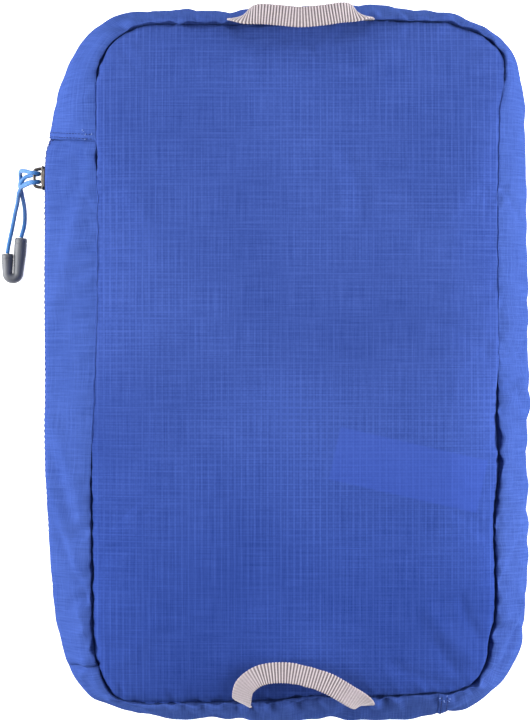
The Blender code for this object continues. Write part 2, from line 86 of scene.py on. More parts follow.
FOLD_JOINT = next(j for j in frame["joints"] if j["name"] == "flap_fold")
FOLD = -Vector(FOLD_JOINT["axis"]).normalized()
FOLD_AT = Vector(FOLD_JOINT["pos_m"])
FOLD_OUT = Vector((FOLD.y, -FOLD.x, 0))
ZIP_Z = 35 * MM
ZIP_END_Y = 112 * MM
ZIP_END_X = SHELL_X + 74.5 * MM
FOLD_ROLL = 21 * MM  # the cloth bends over this far from the fold line
WINDOW = 16 * MM
T_LOW, T_HIGH = (ZIP_Z - WINDOW / 2) / SEAM_Z, (ZIP_Z + WINDOW / 2) / SEAM_Z

RIB = 1.45 * MM  # from one rib of the webbing to the next
FABRIC_DARK, FABRIC_LIGHT = (0.0106, 0.0253, 0.131), (0.0515, 0.0915, 0.320)

NX, NY, ROWS = 80, 134, 38  # cells of the front panel across and along, and down the wall
FINE_STEP = 1.25  # mm from point to point of the fine grids, about
WALL_RISE = 70  # mm that the wall's height counts for, beside distances round the bag
CREASE = math.radians(75)  # edges of the nylon sharper than this are shaded sharp
LABEL_AT = (SHELL_X + 59.2 * MM, -52 * MM)
LABEL_LONG, LABEL_WIDE, LABEL_TILT = 74 * MM, 26 * MM, math.radians(-13)
LABEL_SHOWS = (0.037, 0.069, 0.300)  # the nylon's colour over the label
LOWER_SHADE = (0.70, 0.79, 0.92)  # and the painted shade that darkens the front towards its lower end


# ---------------------------------------------------------------------------------------------
# Camera, light and floor
# ---------------------------------------------------------------------------------------------
CAMERA_AT = (-7.7 * MM, 1.5 * MM, 1.6)
SENSOR, LENS = 24, 104.3  # mm
FLOOR = 3  # metres from its middle to its sides


def look_at(thing, target):
    thing.rotation_euler = (Vector(target) - thing.location).to_track_quat("-Z", "Y").to_euler()


def camera():
    data = bpy.data.cameras.new("camera")
    data.sensor_fit, data.sensor_height = "VERTICAL", SENSOR
    data.lens = LENS
    made = bpy.data.objects.new("camera", data)
    made.location = CAMERA_AT
    bpy.context.collection.objects.link(made)
    bpy.context.scene.camera = made


def area_light(name, place, size, power, target=(0, 0, 0.04), colour=(1, 1, 1)):
    data = bpy.data.lights.new(name, "AREA")
    data.shape, data.size, data.size_y = "RECTANGLE", *size
    data.energy, data.color = power, colour
    made = bpy.data.objects.new(name, data)
    made.location = place
    look_at(made, target)
    bpy.context.collection.objects.link(made)


def studio():
    area_light("left_soft", (-1.35, 0.05, 0.62), (1.1, 1.3), 52)
    area_light("right_soft", (1.35, 0.05, 0.62), (1.1, 1.3), 54)
    area_light("over_soft", (0.2, 0.95, 1.6), (1.0, 1.0), 13)
    world = bpy.data.worlds.new("world")
    world.use_nodes = True
    world.node_tree.nodes["Background"].inputs["Color"].default_value = (0.95, 0.97, 1, 1)
    world.node_tree.nodes["Background"].inputs["Strength"].default_value = 0.22
    bpy.context.scene.world = world
    bpy.context.scene.view_settings.view_transform = "Standard"
    corners = [(-FLOOR, -FLOOR, 0), (FLOOR, -FLOOR, 0), (FLOOR, FLOOR, 0), (-FLOOR, FLOOR, 0)]
    floor = new_mesh("floor", corners, [(0, 1, 2, 3)])
    shader = Shader("floor_white")
    shader.socket("Base Color", (0.93, 0.93, 0.93, 1))
    shader.socket("Roughness", 0.9)
    shader.socket("Emission Color", (1, 1, 1, 1))
    shader.socket("Emission Strength", 0.8)
    floor.location.z = -0.2 * MM
    floor.data.materials.append(shader.material)


# ---------------------------------------------------------------------------------------------
# Materials
# ---------------------------------------------------------------------------------------------
class Shader:
    """A Principled material, with short ways to add the nodes that these materials share."""

    def __init__(self, name):
        self.material = bpy.data.materials.new(name)
        self.material.use_nodes = True
        self.tree = self.material.node_tree
        self.bsdf = self.tree.nodes["Principled BSDF"]
        self.bump_chain = None

    def socket(self, name, value):
        self.bsdf.inputs[name].default_value = value

    def link(self, source, target):
        self.tree.links.new(source, target)

    def node(self, kind, **inputs):
        made = self.tree.nodes.new("ShaderNode" + kind)
        for key, value in inputs.items():
            target = made.inputs[int(key[1:])] if key[0] == "i" and key[1:].isdigit() \
                else made.inputs[key.replace("_", " ")]
            if isinstance(value, bpy.types.NodeSocket):
                self.link(value, target)
            else:
                target.default_value = value
        return made

    def math(self, operation, a, b=0.0, c=0.0):
        made = self.node("Math", i0=a, i1=b, i2=c)
        made.operation = operation
        return made.outputs[0]

    def uv(self):
        return self.tree.nodes.new("ShaderNodeUVMap").outputs[0]

    def split(self, vector):
        made = self.node("SeparateXYZ", i0=vector)
        return made.outputs[0], made.outputs[1]

    def scaled(self, vector, x, y, z=1.0):
        made = self.node("VectorMath", i0=vector, i1=(x, y, z))
        made.operation = "MULTIPLY"
        return made.outputs[0]

    def noise(self, vector, scale=1.0, detail=2.0, rough=0.5):
        made = self.node("TexNoise", Vector=vector, Scale=scale, Detail=detail, Roughness=rough)
        return made.outputs[0]

    def line(self, value, period, width):
        """1 on a thread that repeats every period, and 0 beyond half its width."""
        away = self.math("PINGPONG", value, period / 2)
        made = self.node("MapRange", i0=away, i1=0.0, i2=width / 2, i3=1.0, i4=0.0)
        made.interpolation_type = "SMOOTHSTEP"
        return made.outputs[0]

    def ramp(self, value, *stops):
        made = self.node("ValToRGB", i0=value)
        ramp = made.color_ramp
        for element, (place, colour) in zip(ramp.elements, (stops[0], stops[-1])):
            element.position, element.color = place, (*colour, 1)
        for place, colour in stops[1:-1]:
            ramp.elements.new(place).color = (*colour, 1)
        return made.outputs[0]

    def mix(self, share, a, b):
        made = self.tree.nodes.new("ShaderNodeMix")
        made.data_type = "RGBA"
        for key, value in ((0, share), (6, a), (7, b)):
            if isinstance(value, bpy.types.NodeSocket):
                self.link(value, made.inputs[key])
            else:
                made.inputs[key].default_value = value if key == 0 else (*value, 1)
        return made.outputs[2]

    def multiplied(self, share, a, factor):
        """a, times a colour where share is 1."""
        made = self.tree.nodes.new("ShaderNodeMix")
        made.data_type, made.blend_type = "RGBA", "MULTIPLY"
        self.link(share, made.inputs[0])
        self.link(a, made.inputs[6])
        made.inputs[7].default_value = (*factor, 1)
        return made.outputs[2]

    def bump(self, height, distance, strength=1.0):
        made = self.node("Bump", Height=height, Distance=distance, Strength=strength)
        if self.bump_chain:
            self.link(self.bump_chain, made.inputs["Normal"])
        self.bump_chain = made.outputs[0]
        self.link(self.bump_chain, self.bsdf.inputs["Normal"])

    def colour(self, source):
        self.link(source, self.bsdf.inputs["Base Color"])

    def rough(self, source):
        self.link(source, self.bsdf.inputs["Roughness"])


def label_and_painted_shade(s, x, y, tone):
    """The front's tone with the label showing through it, and painted shade darkening it towards the lower
    end.
    """
    cos, sin = math.cos(LABEL_TILT), math.sin(LABEL_TILT)
    dx, dy = s.math("SUBTRACT", x, LABEL_AT[0]), s.math("SUBTRACT", y, LABEL_AT[1])
    a = s.math("ADD", s.math("MULTIPLY", dx, cos), s.math("MULTIPLY", dy, sin))
    b = s.math("SUBTRACT", s.math("MULTIPLY", dy, cos), s.math("MULTIPLY", dx, sin))
    inside = []
    for value, half in ((a, LABEL_LONG / 2), (b, LABEL_WIDE / 2)):
        made = s.node("MapRange", i0=s.math("ABSOLUTE", value), i1=half - 0.5 * MM,
                      i2=half + 0.5 * MM, i3=1.0, i4=0.0)
        inside.append(made.outputs[0])
    mask = s.math("MULTIPLY", s.math("MULTIPLY", *inside), 0.46)
    tone = s.mix(mask, tone, LABEL_SHOWS)
    # painted shade: the front's colour is darkened towards its lower end
    lower = s.node("MapRange", i0=y, i1=20 * MM, i2=-125 * MM, i3=0.0, i4=0.85)
    lower.interpolation_type = "SMOOTHSTEP"
    return s.multiplied(lower.outputs[0], tone, LOWER_SHADE)


def ripstop(name, dark, light, lines=1.0, label=False):
    """Thin nylon with a raised thread every 3.2 mm both ways and a finer one between, shown as
    strongly as lines says. The UV map is in metres on the cloth. label is true where one shows
    through."""
    s = Shader(name)
    uv = s.uv()
    x, y = s.split(uv)
    warp, weft = s.line(x, 3.2 * MM, 1.8 * MM), s.line(y, 3.1 * MM, 1.9 * MM)
    fine_x, fine_y = s.line(x, 1.6 * MM, 1.0 * MM), s.line(y, 1.55 * MM, 1.0 * MM)
    along = s.noise(s.scaled(uv, 2200, 45), detail=3, rough=0.7)
    across = s.noise(s.scaled(uv, 45, 2200), detail=3, rough=0.7)
    patch_x = s.noise(s.scaled(uv, 9, 7), detail=1)
    patch_y = s.noise(s.scaled(uv, 6, 10, 1), scale=1.3, detail=1)
    weight_x = s.math("MULTIPLY_ADD", patch_x, 1.6, -0.28)
    weight_y = s.math("MULTIPLY_ADD", patch_y, 1.4, -0.30)
    grid = s.math("MAXIMUM", s.math("MULTIPLY", warp, weight_x), s.math("MULTIPLY", weft, weight_y))
    sub = s.math("MAXIMUM", s.math("MULTIPLY", fine_x, weight_x), s.math("MULTIPLY", fine_y, weight_y))
    threads = s.math("ADD", along, across)
    shade = s.math("MULTIPLY_ADD", threads, 0.85, -0.68 + 0.07 * (1 - lines))
    shade = s.math("MULTIPLY_ADD", grid, 0.30 * lines, shade)
    shade = s.math("MULTIPLY_ADD", sub, 0.14 * lines, shade)
    cloud = s.noise(s.scaled(uv, 14, 14), detail=2)
    shade = s.math("MULTIPLY_ADD", cloud, 0.40, shade)
    tone = s.mix(shade, dark, light)
    if label:
        tone = label_and_painted_shade(s, x, y, tone)
    s.colour(tone)
    s.rough(s.math("MULTIPLY_ADD", along, 0.22, 0.48))
    s.socket("Specular IOR Level", 0.0)
    s.socket("Specular Tint", (0.50, 0.68, 1, 1))
    s.socket("Sheen Weight", 0.03)
    s.socket("Sheen Roughness", 0.4)
    s.socket("Sheen Tint", (0.25, 0.45, 1, 1))
    s.bump(grid, 0.10 * MM, 0.8)
    s.bump(sub, 0.04 * MM, 0.6)
    s.bump(threads, 0.05 * MM, 0.5)
    return s.material


def weave(name, dark, light, pitch, roughness=0.75, bump=0.12 * MM):
    """A plain woven tape. The UV map is in metres."""
    s = Shader(name)
    uv = s.uv()
    x, y = s.split(uv)
    ribs = s.line(x, pitch, pitch)
    cross = s.line(y, pitch * 0.8, pitch * 0.8)
    height = s.math("MULTIPLY_ADD", cross, 0.5, ribs)
    grain = s.noise(s.scaled(uv, 1800, 1800), detail=2)
    s.colour(s.mix(s.math("MULTIPLY_ADD", grain, 0.4, s.math("MULTIPLY", height, 0.45)), dark, light))
    s.socket("Roughness", roughness)
    s.socket("Sheen Weight", 0.2)
    s.bump(height, bump, 0.8)
    return s.material


def grosgrain(name, ribbed):
    """Ribbed webbing: U runs along the strap, V across it, in metres. ribbed is where the ribs'
    painted shading starts to show, shows fully, starts to fade and is gone."""
    s = Shader(name)
    uv = s.uv()
    x, y = s.split(uv)
    rib = s.line(x, RIB, RIB)
    shown = s.node("MapRange", i0=x, i1=ribbed[0], i2=ribbed[1], i3=0.15, i4=1.0)
    faded = s.node("MapRange", i0=x, i1=ribbed[2], i2=ribbed[3], i3=1.0, i4=0.15)
    clear = s.math("MULTIPLY", shown.outputs[0], faded.outputs[0])
    rib = s.math("MULTIPLY_ADD", s.math("SUBTRACT", rib, 0.62), clear, 0.62)
    yarn = s.noise(s.scaled(uv, 300, 5000), detail=2)
    fine = s.line(y, 0.42 * MM, 0.30 * MM)
    # painted shade: the ribs are coloured light and the valleys between them dark, over the strap's real
    # ribs
    value = s.math("MULTIPLY_ADD", rib, 0.75, s.math("MULTIPLY_ADD", yarn, 0.35, -0.10))
    s.colour(s.ramp(value, (0.0, (0.045, 0.034, 0.038)), (0.4, (0.205, 0.170, 0.185)),
                    (1.0, (0.53, 0.465, 0.49))))
    s.socket("Roughness", 0.82)
    s.socket("Sheen Weight", 0.25)
    s.bump(fine, 0.06 * MM, 0.6)
    s.bump(yarn, 0.05 * MM, 0.5)
    return s.material


def braid(name):
    """A braided sheath: U along the cord in metres, V from 0 to 1 round it."""
    s = Shader(name)
    uv = s.uv()
    x, y = s.split(uv)
    turns = s.math("MULTIPLY", y, 6.0)
    steps = s.math("MULTIPLY", x, 1 / (0.85 * MM))
    one = s.math("PINGPONG", s.math("ADD", turns, steps), 0.5)
    two = s.math("PINGPONG", s.math("SUBTRACT", turns, steps), 0.5)
    weft = s.math("MULTIPLY", s.math("MAXIMUM", one, two), 2.0)
    fuzz = s.noise(s.scaled(uv, 3500, 40), detail=2)
    value = s.math("MULTIPLY_ADD", fuzz, 0.4, s.math("MULTIPLY_ADD", weft, 0.8, -0.35))
    s.colour(s.ramp(value, (0.0, (0.005, 0.052, 0.20)), (0.5, (0.014, 0.150, 0.42)),
                    (1.0, (0.060, 0.31, 0.64))))
    s.socket("Roughness", 0.55)
    s.socket("Sheen Weight", 0.15)
    s.bump(weft, 0.18 * MM, 0.9)
    return s.material


def moulded(name, colour, roughness, grain=0.02 * MM, specular=0.5):
    s = Shader(name)
    coords = s.tree.nodes.new("ShaderNodeTexCoord").outputs["Object"]
    speck = s.noise(s.scaled(coords, 2600, 2600, 2600), detail=3)
    wear = s.noise(s.scaled(coords, 160, 160, 160), detail=3)
    darker = tuple(c * 0.75 for c in colour)
    lighter = tuple(min(1, c * 1.25 + 0.01) for c in colour)
    s.colour(s.mix(wear, darker, lighter))
    s.rough(s.math("MULTIPLY_ADD", wear, 0.2, roughness - 0.1))
    s.socket("Specular IOR Level", specular)
    s.bump(speck, grain, 0.6)
    return s.material


def metal(name, colour, roughness):
    s = Shader(name)
    coords = s.tree.nodes.new("ShaderNodeTexCoord").outputs["Object"]
    brushed = s.noise(s.scaled(coords, 600, 5000, 600), detail=3)
    wear = s.noise(s.scaled(coords, 500, 500, 500), detail=4)
    s.colour(s.mix(wear, tuple(c * 0.7 for c in colour), tuple(min(1, c * 1.2) for c in colour)))
    s.rough(s.math("MULTIPLY_ADD", brushed, 0.25, roughness - 0.1))
    s.socket("Metallic", 1.0)
    s.bump(brushed, 0.01 * MM, 0.4)
    return s.material


def thread(name, colour):
    s = Shader(name)
    coords = s.tree.nodes.new("ShaderNodeTexCoord").outputs["Object"]
    twist = s.noise(s.scaled(coords, 6000, 6000, 6000), detail=1)
    s.colour(s.mix(twist, tuple(c * 0.6 for c in colour), colour))
    s.socket("Roughness", 0.7)
    s.socket("Specular IOR Level", 0.1)
    return s.material


# ---------------------------------------------------------------------------------------------
# Mesh helpers
# ---------------------------------------------------------------------------------------------
def new_mesh(name, points, faces, uv=None, smooth=True):
    """An object from points, faces and, for each point, a UV."""
    mesh = bpy.data.meshes.new(name)
    mesh.from_pydata([tuple(p) for p in np.asarray(points, float)], [], [tuple(f) for f in faces])
    if uv is not None:
        layer = mesh.uv_layers.new(name="cloth")
        loops = np.zeros(len(mesh.loops), np.int32)
        mesh.loops.foreach_get("vertex_index", loops)
        layer.data.foreach_set("uv", np.asarray(uv, np.float32)[loops].ravel())
    if smooth:
        mesh.shade_smooth()
    mesh.update()
    made = bpy.data.objects.new(name, mesh)
    bpy.context.collection.objects.link(made)
    return made


def grid_faces(a, b, wrap=False, start=0, flip=False):
    """Quads of an a by b grid of points, stored row by row, b in a row."""
    faces = []
    for i in range(a if wrap else a - 1):
        k = (i + 1) % a
        for j in range(b - 1):
            quad = (start + i * b + j, start + k * b + j, start + k * b + j + 1, start + i * b + j + 1)
            faces.append(quad[::-1] if flip else quad)
    return faces


def normals_of(grid):
    """Unit normals of a grid of points, from its two directions."""
    a, b = np.gradient(grid, axis=0), np.gradient(grid, axis=1)
    n = np.cross(a, b)
    return n / np.maximum(np.linalg.norm(n, axis=-1, keepdims=True), 1e-12)


def double(grid, axis, wrap):
    """Twice as fine a grid along one axis, by cubic interpolation."""
    g = np.moveaxis(grid, axis, 0)
    if wrap:
        before, after, two = np.roll(g, 1, 0), np.roll(g, -1, 0), np.roll(g, -2, 0)
        middle = (-before + 9 * g + 9 * after - two) / 16
        out = np.empty((2 * len(g), *g.shape[1:]))
        out[0::2], out[1::2] = g, middle
    else:
        first, last = 2 * g[:1] - g[1:2], 2 * g[-1:] - g[-2:-1]
        p = np.concatenate([first, g, last])
        middle = (-p[:-3] + 9 * p[1:-2] + 9 * p[2:-1] - p[3:]) / 16
        out = np.empty((2 * len(g) - 1, *g.shape[1:]))
        out[0::2], out[1::2] = g, middle
    return np.moveaxis(out, 0, axis)


def wavy(s, period, size, seed):
    """A smooth random line, s being a distance: a sum of sines about one wavelength."""
    draw = np.random.default_rng(seed)
    total = np.zeros_like(s, float)
    for k in range(7):
        length = period * (0.55 + 0.22 * k)
        total += draw.normal() * np.sin(2 * np.pi * s / length + draw.uniform(0, 6.3))
    return total * size / 2.6


def run_along(line):
    """How far along a line each of its points is, from 0."""
    return np.concatenate([[0], np.cumsum(np.linalg.norm(np.diff(line, axis=0), axis=1))])


def at_distance(line, far, want):
    """The line at the wanted distances, far being that of each of its points."""
    return np.stack([np.interp(want, far, column) for column in line.T], axis=1)


def tube(points, radius, sides, flat=1.0):
    """Points, faces and UVs of a tube along a line. radius is one number or one per point, and
    so is flat, its width in the plane of the first turn as a share of its height."""
    p = np.asarray(points, float)
    r = np.broadcast_to(np.asarray(radius, float), (len(p),))
    wide = np.broadcast_to(np.asarray(flat, float), (len(p),)) * r
    t = np.gradient(p, axis=0)
    t /= np.maximum(np.linalg.norm(t, axis=1, keepdims=True), 1e-12)
    side = np.cross(t[0], (0, 0, 1) if abs(t[0][2]) < 0.9 else (0, 1, 0))
    rings, uv, far = [], [], run_along(p)
    for i in range(len(p)):
        side = side - t[i] * side.dot(t[i])
        side /= np.linalg.norm(side)
        up = np.cross(t[i], side)
        for k in range(sides):
            a = 2 * math.pi * k / sides
            rings.append(p[i] + wide[i] * math.cos(a) * side + r[i] * math.sin(a) * up)
            uv.append((far[i], k / sides))
    faces = []
    for i in range(len(p) - 1):
        for k in range(sides):
            m = (k + 1) % sides
            faces.append((i * sides + k, i * sides + m, (i + 1) * sides + m, (i + 1) * sides + k))
    faces.append(tuple(range(sides))[::-1])
    faces.append(tuple((len(p) - 1) * sides + k for k in range(sides)))
    return np.array(rings), faces, np.array(uv)


def joined(parts):
    """Several (points, faces, uv) as one."""
    points, faces, uvs, start = [], [], [], 0
    for p, f, uv in parts:
        points.append(p)
        faces += [tuple(i + start for i in face) for face in f]
        uvs.append(uv)
        start += len(p)
    return np.concatenate(points), faces, np.concatenate(uvs)


def smooth_line(points, count):
    """count points evenly spaced along a smooth curve through the given ones."""
    pts = np.asarray(points, float)
    ends = np.concatenate([[2 * pts[0] - pts[1]], pts, [2 * pts[-1] - pts[-2]]])
    s = np.linspace(0, 1, 16, endpoint=False)[:, None]
    dense = []
    for a, b, c, d in zip(ends, ends[1:], ends[2:], ends[3:]):
        dense.append(0.5 * (2 * b + (c - a) * s + (2 * a - 5 * b + 4 * c - d) * s**2
                            + (3 * b - a - 3 * c + d) * s**3))
    dense = np.concatenate([*dense, pts[-1:]])
    far = run_along(dense)
    return at_distance(dense, far, np.linspace(0, far[-1], count))


def stitch_row(line, lift, pitch=2.8 * MM, long=2.1 * MM, radius=0.16 * MM):
    """A row of lockstitches along a line; lift is the direction out of the cloth at each point."""
    far = run_along(line)
    rise = np.array([-0.25, 0.10, 0.16, 0.10, -0.25])[:, None] * MM  # down into the cloth at both ends
    parts = []
    for k in range(int(far[-1] / pitch)):
        at = np.linspace(k * pitch, k * pitch + long, 5)
        if at[-1] > far[-1]:
            break
        middle = at_distance(line, far, at) + at_distance(lift, far, at) * rise
        parts.append(tube(middle, radius, 6))
    return joined(parts)


# ---------------------------------------------------------------------------------------------
# The bag's shape before the cloth settles
# ---------------------------------------------------------------------------------------------
def reach(side, t):
    seam = BACK[side] + (FRONT[side] - BACK[side]) * t
    middle = (BACK[side] + FRONT[side]) / 2
    return seam + (WIDE[side] - middle) * np.sin(np.pi * np.clip(t, 0, 1)) ** BULGE_POWER


def wall(u, t):
    """Points of the wall. u runs 0 to 8 round the bag, as side, corner, side and so on, from the
    upper end of the left side down it; t runs from the back seam, 0, to the front seam, 1."""
    u, t = np.broadcast_arrays(np.asarray(u, float) % 8, np.asarray(t, float))
    left, right, top, bottom = (reach(s, t) for s in SIDES)
    power = 2 / (2 + (SEAM_SQUARE - 2) * np.abs(2 * t - 1) ** 2)
    share, turn = u % 1, (u % 1) * np.pi / 2
    early, late = np.maximum(np.cos(turn), 0) ** power, np.maximum(np.sin(turn), 0) ** power
    x0, x1, sy = STRAIGHT_LEFT, STRAIGHT_RIGHT, STRAIGHT_Y
    xs = (left, x0 + (left - x0) * early, x0 + (x1 - x0) * share, x1 + (right - x1) * late,
          right, x1 + (right - x1) * early, x1 + (x0 - x1) * share, x0 + (left - x0) * late)
    ys = (sy - 2 * sy * share, -sy + (bottom + sy) * late, bottom, -sy + (bottom + sy) * early,
          -sy + 2 * sy * share, sy + (top - sy) * late, top, sy + (top - sy) * early)
    which = [np.floor(u).astype(int) == k for k in range(8)]
    return np.stack([np.select(which, xs), np.select(which, ys), SEAM_Z * t], axis=-1)


END_LEFT = 8 + (STRAIGHT_Y - ZIP_END_Y) / (2 * STRAIGHT_Y)
END_BOTTOM = 8 + 2 + (ZIP_END_X - STRAIGHT_LEFT) / (STRAIGHT_RIGHT - STRAIGHT_LEFT)
# how far along the two seams the fold's roll reaches, past the zip's ends
ROLL_LEFT = END_LEFT + FOLD_ROLL / abs(FOLD_OUT.y) / (2 * STRAIGHT_Y)
ROLL_BOTTOM = END_BOTTOM - FOLD_ROLL / abs(FOLD_OUT.x) / (STRAIGHT_RIGHT - STRAIGHT_LEFT)


def moved_onto(places, exact_places):
    """Move the nearest of the places onto each exact one, and say which they are."""
    marks = []
    for exact in exact_places:
        k = int(np.abs(places - exact).argmin())
        places[k] = exact
        marks.append(k)
    return places, marks


def column_places():
    """u of each column of the wall: evenly spaced along the front seam between the middles of the
    corners, with columns exactly at the zip's ends and where the fold's roll ends."""
    found = []
    for first, cells in ((7.5, NY), (9.5, NX), (11.5, NY), (13.5, NX)):
        u = np.linspace(first, first + 2, 801)
        p = wall(u, 1.0)
        far = run_along(p)
        found.append(np.interp(np.linspace(0, far[-1], cells + 1)[:-1], far, u))
    return moved_onto(np.concatenate(found), (END_LEFT, ROLL_LEFT, ROLL_BOTTOM, END_BOTTOM))


def row_places():
    """t of each row, closer near the seams, with rows exactly at the zip's window."""
    return moved_onto((1 + np.cos(np.linspace(0, np.pi, ROWS + 1))) / 2, (T_HIGH, T_LOW))


def edge_order(shape):
    """The points round a grid's edge, in the order of the wall's columns."""
    i, j = shape[0] - 1, shape[1] - 1
    order = [(0, n) for n in range(j, 0, -1)] + [(n, 0) for n in range(i)]
    order += [(i, n) for n in range(j)] + [(n, j) for n in range(i, 0, -1)]
    return np.array(order)


def filled(ring, shape):
    """A grid that fills a closed ring of points, given in that order."""
    grid = np.zeros((*shape, ring.shape[1]))
    edge = edge_order(shape)
    grid[edge[:, 0], edge[:, 1]] = ring
    a, b = np.linspace(0, 1, shape[0])[:, None, None], np.linspace(0, 1, shape[1])[None, :, None]
    left, right, low, high = grid[:1], grid[-1:], grid[:, :1], grid[:, -1:]
    return ((1 - a) * left + a * right + (1 - b) * low + b * high
            - (1 - a) * (1 - b) * grid[0, 0] - a * b * grid[-1, -1]
            - (1 - a) * b * grid[0, -1] - a * (1 - b) * grid[-1, 0])


def around(grid):
    """The mean of the four neighbours of each inner point."""
    return (grid[:-2, 1:-1] + grid[2:, 1:-1] + grid[1:-1, :-2] + grid[1:-1, 2:]) / 4


def relaxed(grid, rounds):
    for _ in range(rounds):
        grid[1:-1, 1:-1] = around(grid)
    return grid


def pillow(shape, rounds=900):
    """How a membrane held at its edge swells, from 0 at the edge to 1."""
    h = np.zeros(shape)
    for _ in range(rounds):
        h[1:-1, 1:-1] = around(h) + 1e-4
    return h / h.max()


# ---------------------------------------------------------------------------------------------
# Cloth simulation of the whole bag
# ---------------------------------------------------------------------------------------------
FRAMES = 24
SPARE_LENGTH = 0.035  # how much longer than its net the loosest cloth is cut, as a share


def settle(points, faces, pinned, spare, cap):
    """Run the cloth of the filled bag and return where its points come to rest, each within cap of
    where it started. pinned and spare are weights from 0 to 1: how firmly a point is held, and its
    share of the spare length."""
    work = new_mesh("settling", points, faces)
    pins = work.vertex_groups.new(name="pins")
    for i in np.flatnonzero(pinned):
        pins.add([int(i)], float(pinned[i]), "REPLACE")
    loose = work.vertex_groups.new(name="loose")
    for i in range(len(points)):
        loose.add([i], float(spare[i]), "REPLACE")
    step = work.modifiers.new("Cloth", "CLOTH")
    c = step.settings
    c.quality, c.mass, c.air_damping = 5, 0.12, 4
    c.tension_stiffness = c.compression_stiffness = 30
    c.shear_stiffness, c.bending_stiffness = 8, 0.35
    c.tension_damping = c.compression_damping = 8
    c.use_pressure, c.uniform_pressure_force = True, 2.2
    c.vertex_group_mass = "pins"
    c.shrink_min, c.shrink_max = 0.0, -SPARE_LENGTH
    c.vertex_group_shrink = "loose"
    c.effector_weights.gravity = 0
    step.collision_settings.use_collision = False
    step.collision_settings.use_self_collision = False
    scene = bpy.context.scene
    scene.frame_start, scene.frame_end = 1, FRAMES
    step.point_cache.frame_start, step.point_cache.frame_end = 1, FRAMES
    for k in range(1, FRAMES + 1):
        scene.frame_set(k)
    evaluated = work.evaluated_get(bpy.context.evaluated_depsgraph_get())
    out = np.zeros(len(points) * 3, np.float32)
    evaluated.data.vertices.foreach_get("co", out)
    scene.frame_set(1)
    bpy.data.objects.remove(work)
    move = out.reshape(-1, 3).astype(float) - points
    size = np.linalg.norm(move, axis=1, keepdims=True)
    return points + move * np.minimum(1, cap[:, None] / np.maximum(size, 1e-9))


def net_of(panel, side):
    """The panel and the wall as one net, joined at the front seam: its points and faces, and the
    numbers of the panel's points and of the wall's."""
    edge = edge_order(panel.shape[:2])
    number = np.arange((NX + 1) * (NY + 1)).reshape(NX + 1, NY + 1)
    columns = len(side)
    below = number.size + np.arange(columns * ROWS).reshape(columns, ROWS)
    ids = np.concatenate([number[edge[:, 0], edge[:, 1]][:, None], below], 1)
    faces = grid_faces(NX + 1, NY + 1)
    for i in range(columns):
        k = (i + 1) % columns
        for j in range(ROWS):
            faces.append((int(ids[i, j]), int(ids[i, j + 1]), int(ids[k, j + 1]), int(ids[k, j])))
    points = np.concatenate([panel.reshape(-1, 3), side[:, 1:].reshape(-1, 3)])
    return points, faces, number, ids


def wall_weights(u, t):
    """How firmly each point of the wall is held, at the back seam and along the zip, and its share
    of the spare length."""
    on_zip = (u[:, None] >= END_LEFT - 1e-6) & (u[:, None] <= END_BOTTOM + 1e-6)
    in_window = (t[None] <= T_HIGH + 1e-6) & (t[None] >= T_LOW - 1e-6)
    held = (on_zip & in_window).astype(float)
    held[:, -1] = 1
    lower_side = (u > 9.2) & (u < 11.8)
    spare = np.sin(np.pi * t[None]) ** 0.5 * np.where(lower_side, 1.0, 0.55)[:, None]
    return held, spare


def bag_shape():
    """The settled bag as two grids: the front panel, and the wall by column and row."""
    u, column_marks = column_places()
    t, row_marks = row_places()
    side = wall(u[:, None], t[None, :])
    shape = (NX + 1, NY + 1)
    flat = relaxed(filled(side[:, 0, :2], shape), 60)
    panel = np.concatenate([flat, np.zeros((*shape, 1))], axis=2)
    panel[..., 2] = SEAM_Z + CROWN * 0.86 * pillow(shape) ** 0.62
    edge = edge_order(shape)
    panel[edge[:, 0], edge[:, 1]] = side[:, 0]

    points, faces, number, ids = net_of(panel, side)
    all_held, all_spare = np.zeros(len(points)), np.zeros(len(points))
    all_held[ids], all_spare[ids] = wall_weights(u, t)
    all_spare[number[1:-1, 1:-1].ravel()] = 0.10
    cap = np.full(len(points), 5.0 * MM)
    cap[number.ravel()] = 2.5 * MM
    points = settle(points, faces, all_held, all_spare, cap)
    return points[number], points[ids], u, t, column_marks, row_marks


# ---------------------------------------------------------------------------------------------
# Pieces of the cloth body
# ---------------------------------------------------------------------------------------------
SHEET = 0.45 * MM  # thickness of the drawn cloth


def solid_between(outer, inner, uv, wrap=False):
    """Points, faces and UVs of a sheet, from the grids of its outer and its inner side."""
    a, b = outer.shape[:2]
    total = a * b
    faces = grid_faces(a, b, wrap) + grid_faces(a, b, wrap, start=total, flip=True)
    if wrap:
        for i in range(a):
            k = (i + 1) % a
            for j, flip in ((0, True), (b - 1, False)):
                quad = (i * b + j, k * b + j, total + k * b + j, total + i * b + j)
                faces.append(quad if flip else quad[::-1])
    else:
        ring = [(i, 0) for i in range(a)] + [(a - 1, j) for j in range(1, b)]
        ring += [(i, b - 1) for i in range(a - 2, -1, -1)] + [(0, j) for j in range(b - 2, 0, -1)]
        for (i, j), (k, m) in zip(ring, ring[1:] + ring[:1]):
            faces.append((i * b + j, total + i * b + j, total + k * b + m, k * b + m))
    points = np.concatenate([outer.reshape(-1, 3), inner.reshape(-1, 3)])
    return points, faces, np.concatenate([uv.reshape(-1, 2)] * 2)


def slab(grid, thick, uv, wrap=False, normals=None):
    """A sheet of some thickness, its outer side on the grid."""
    n = normals_of(grid) if normals is None else normals
    return solid_between(grid, grid - n * thick, uv, wrap)


def piece(name, parts, body, material, nodes=(), slot=None):
    """A finished piece from (points, faces, uv) parts. body is one body to attach it to, or the arguments of
    a
    blend: (from, to, start, end), which leave it unattached and are not used to blend it."""
    made = new_mesh(name, *joined(parts))
    made.data.materials.append(material)
    if isinstance(body, str):
        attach(made, body)
    else:
        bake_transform(made)
    if slot == "ripstop":
        made.data.set_sharp_from_angle(angle=CREASE)
    if nodes:
        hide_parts(*nodes)
    return made


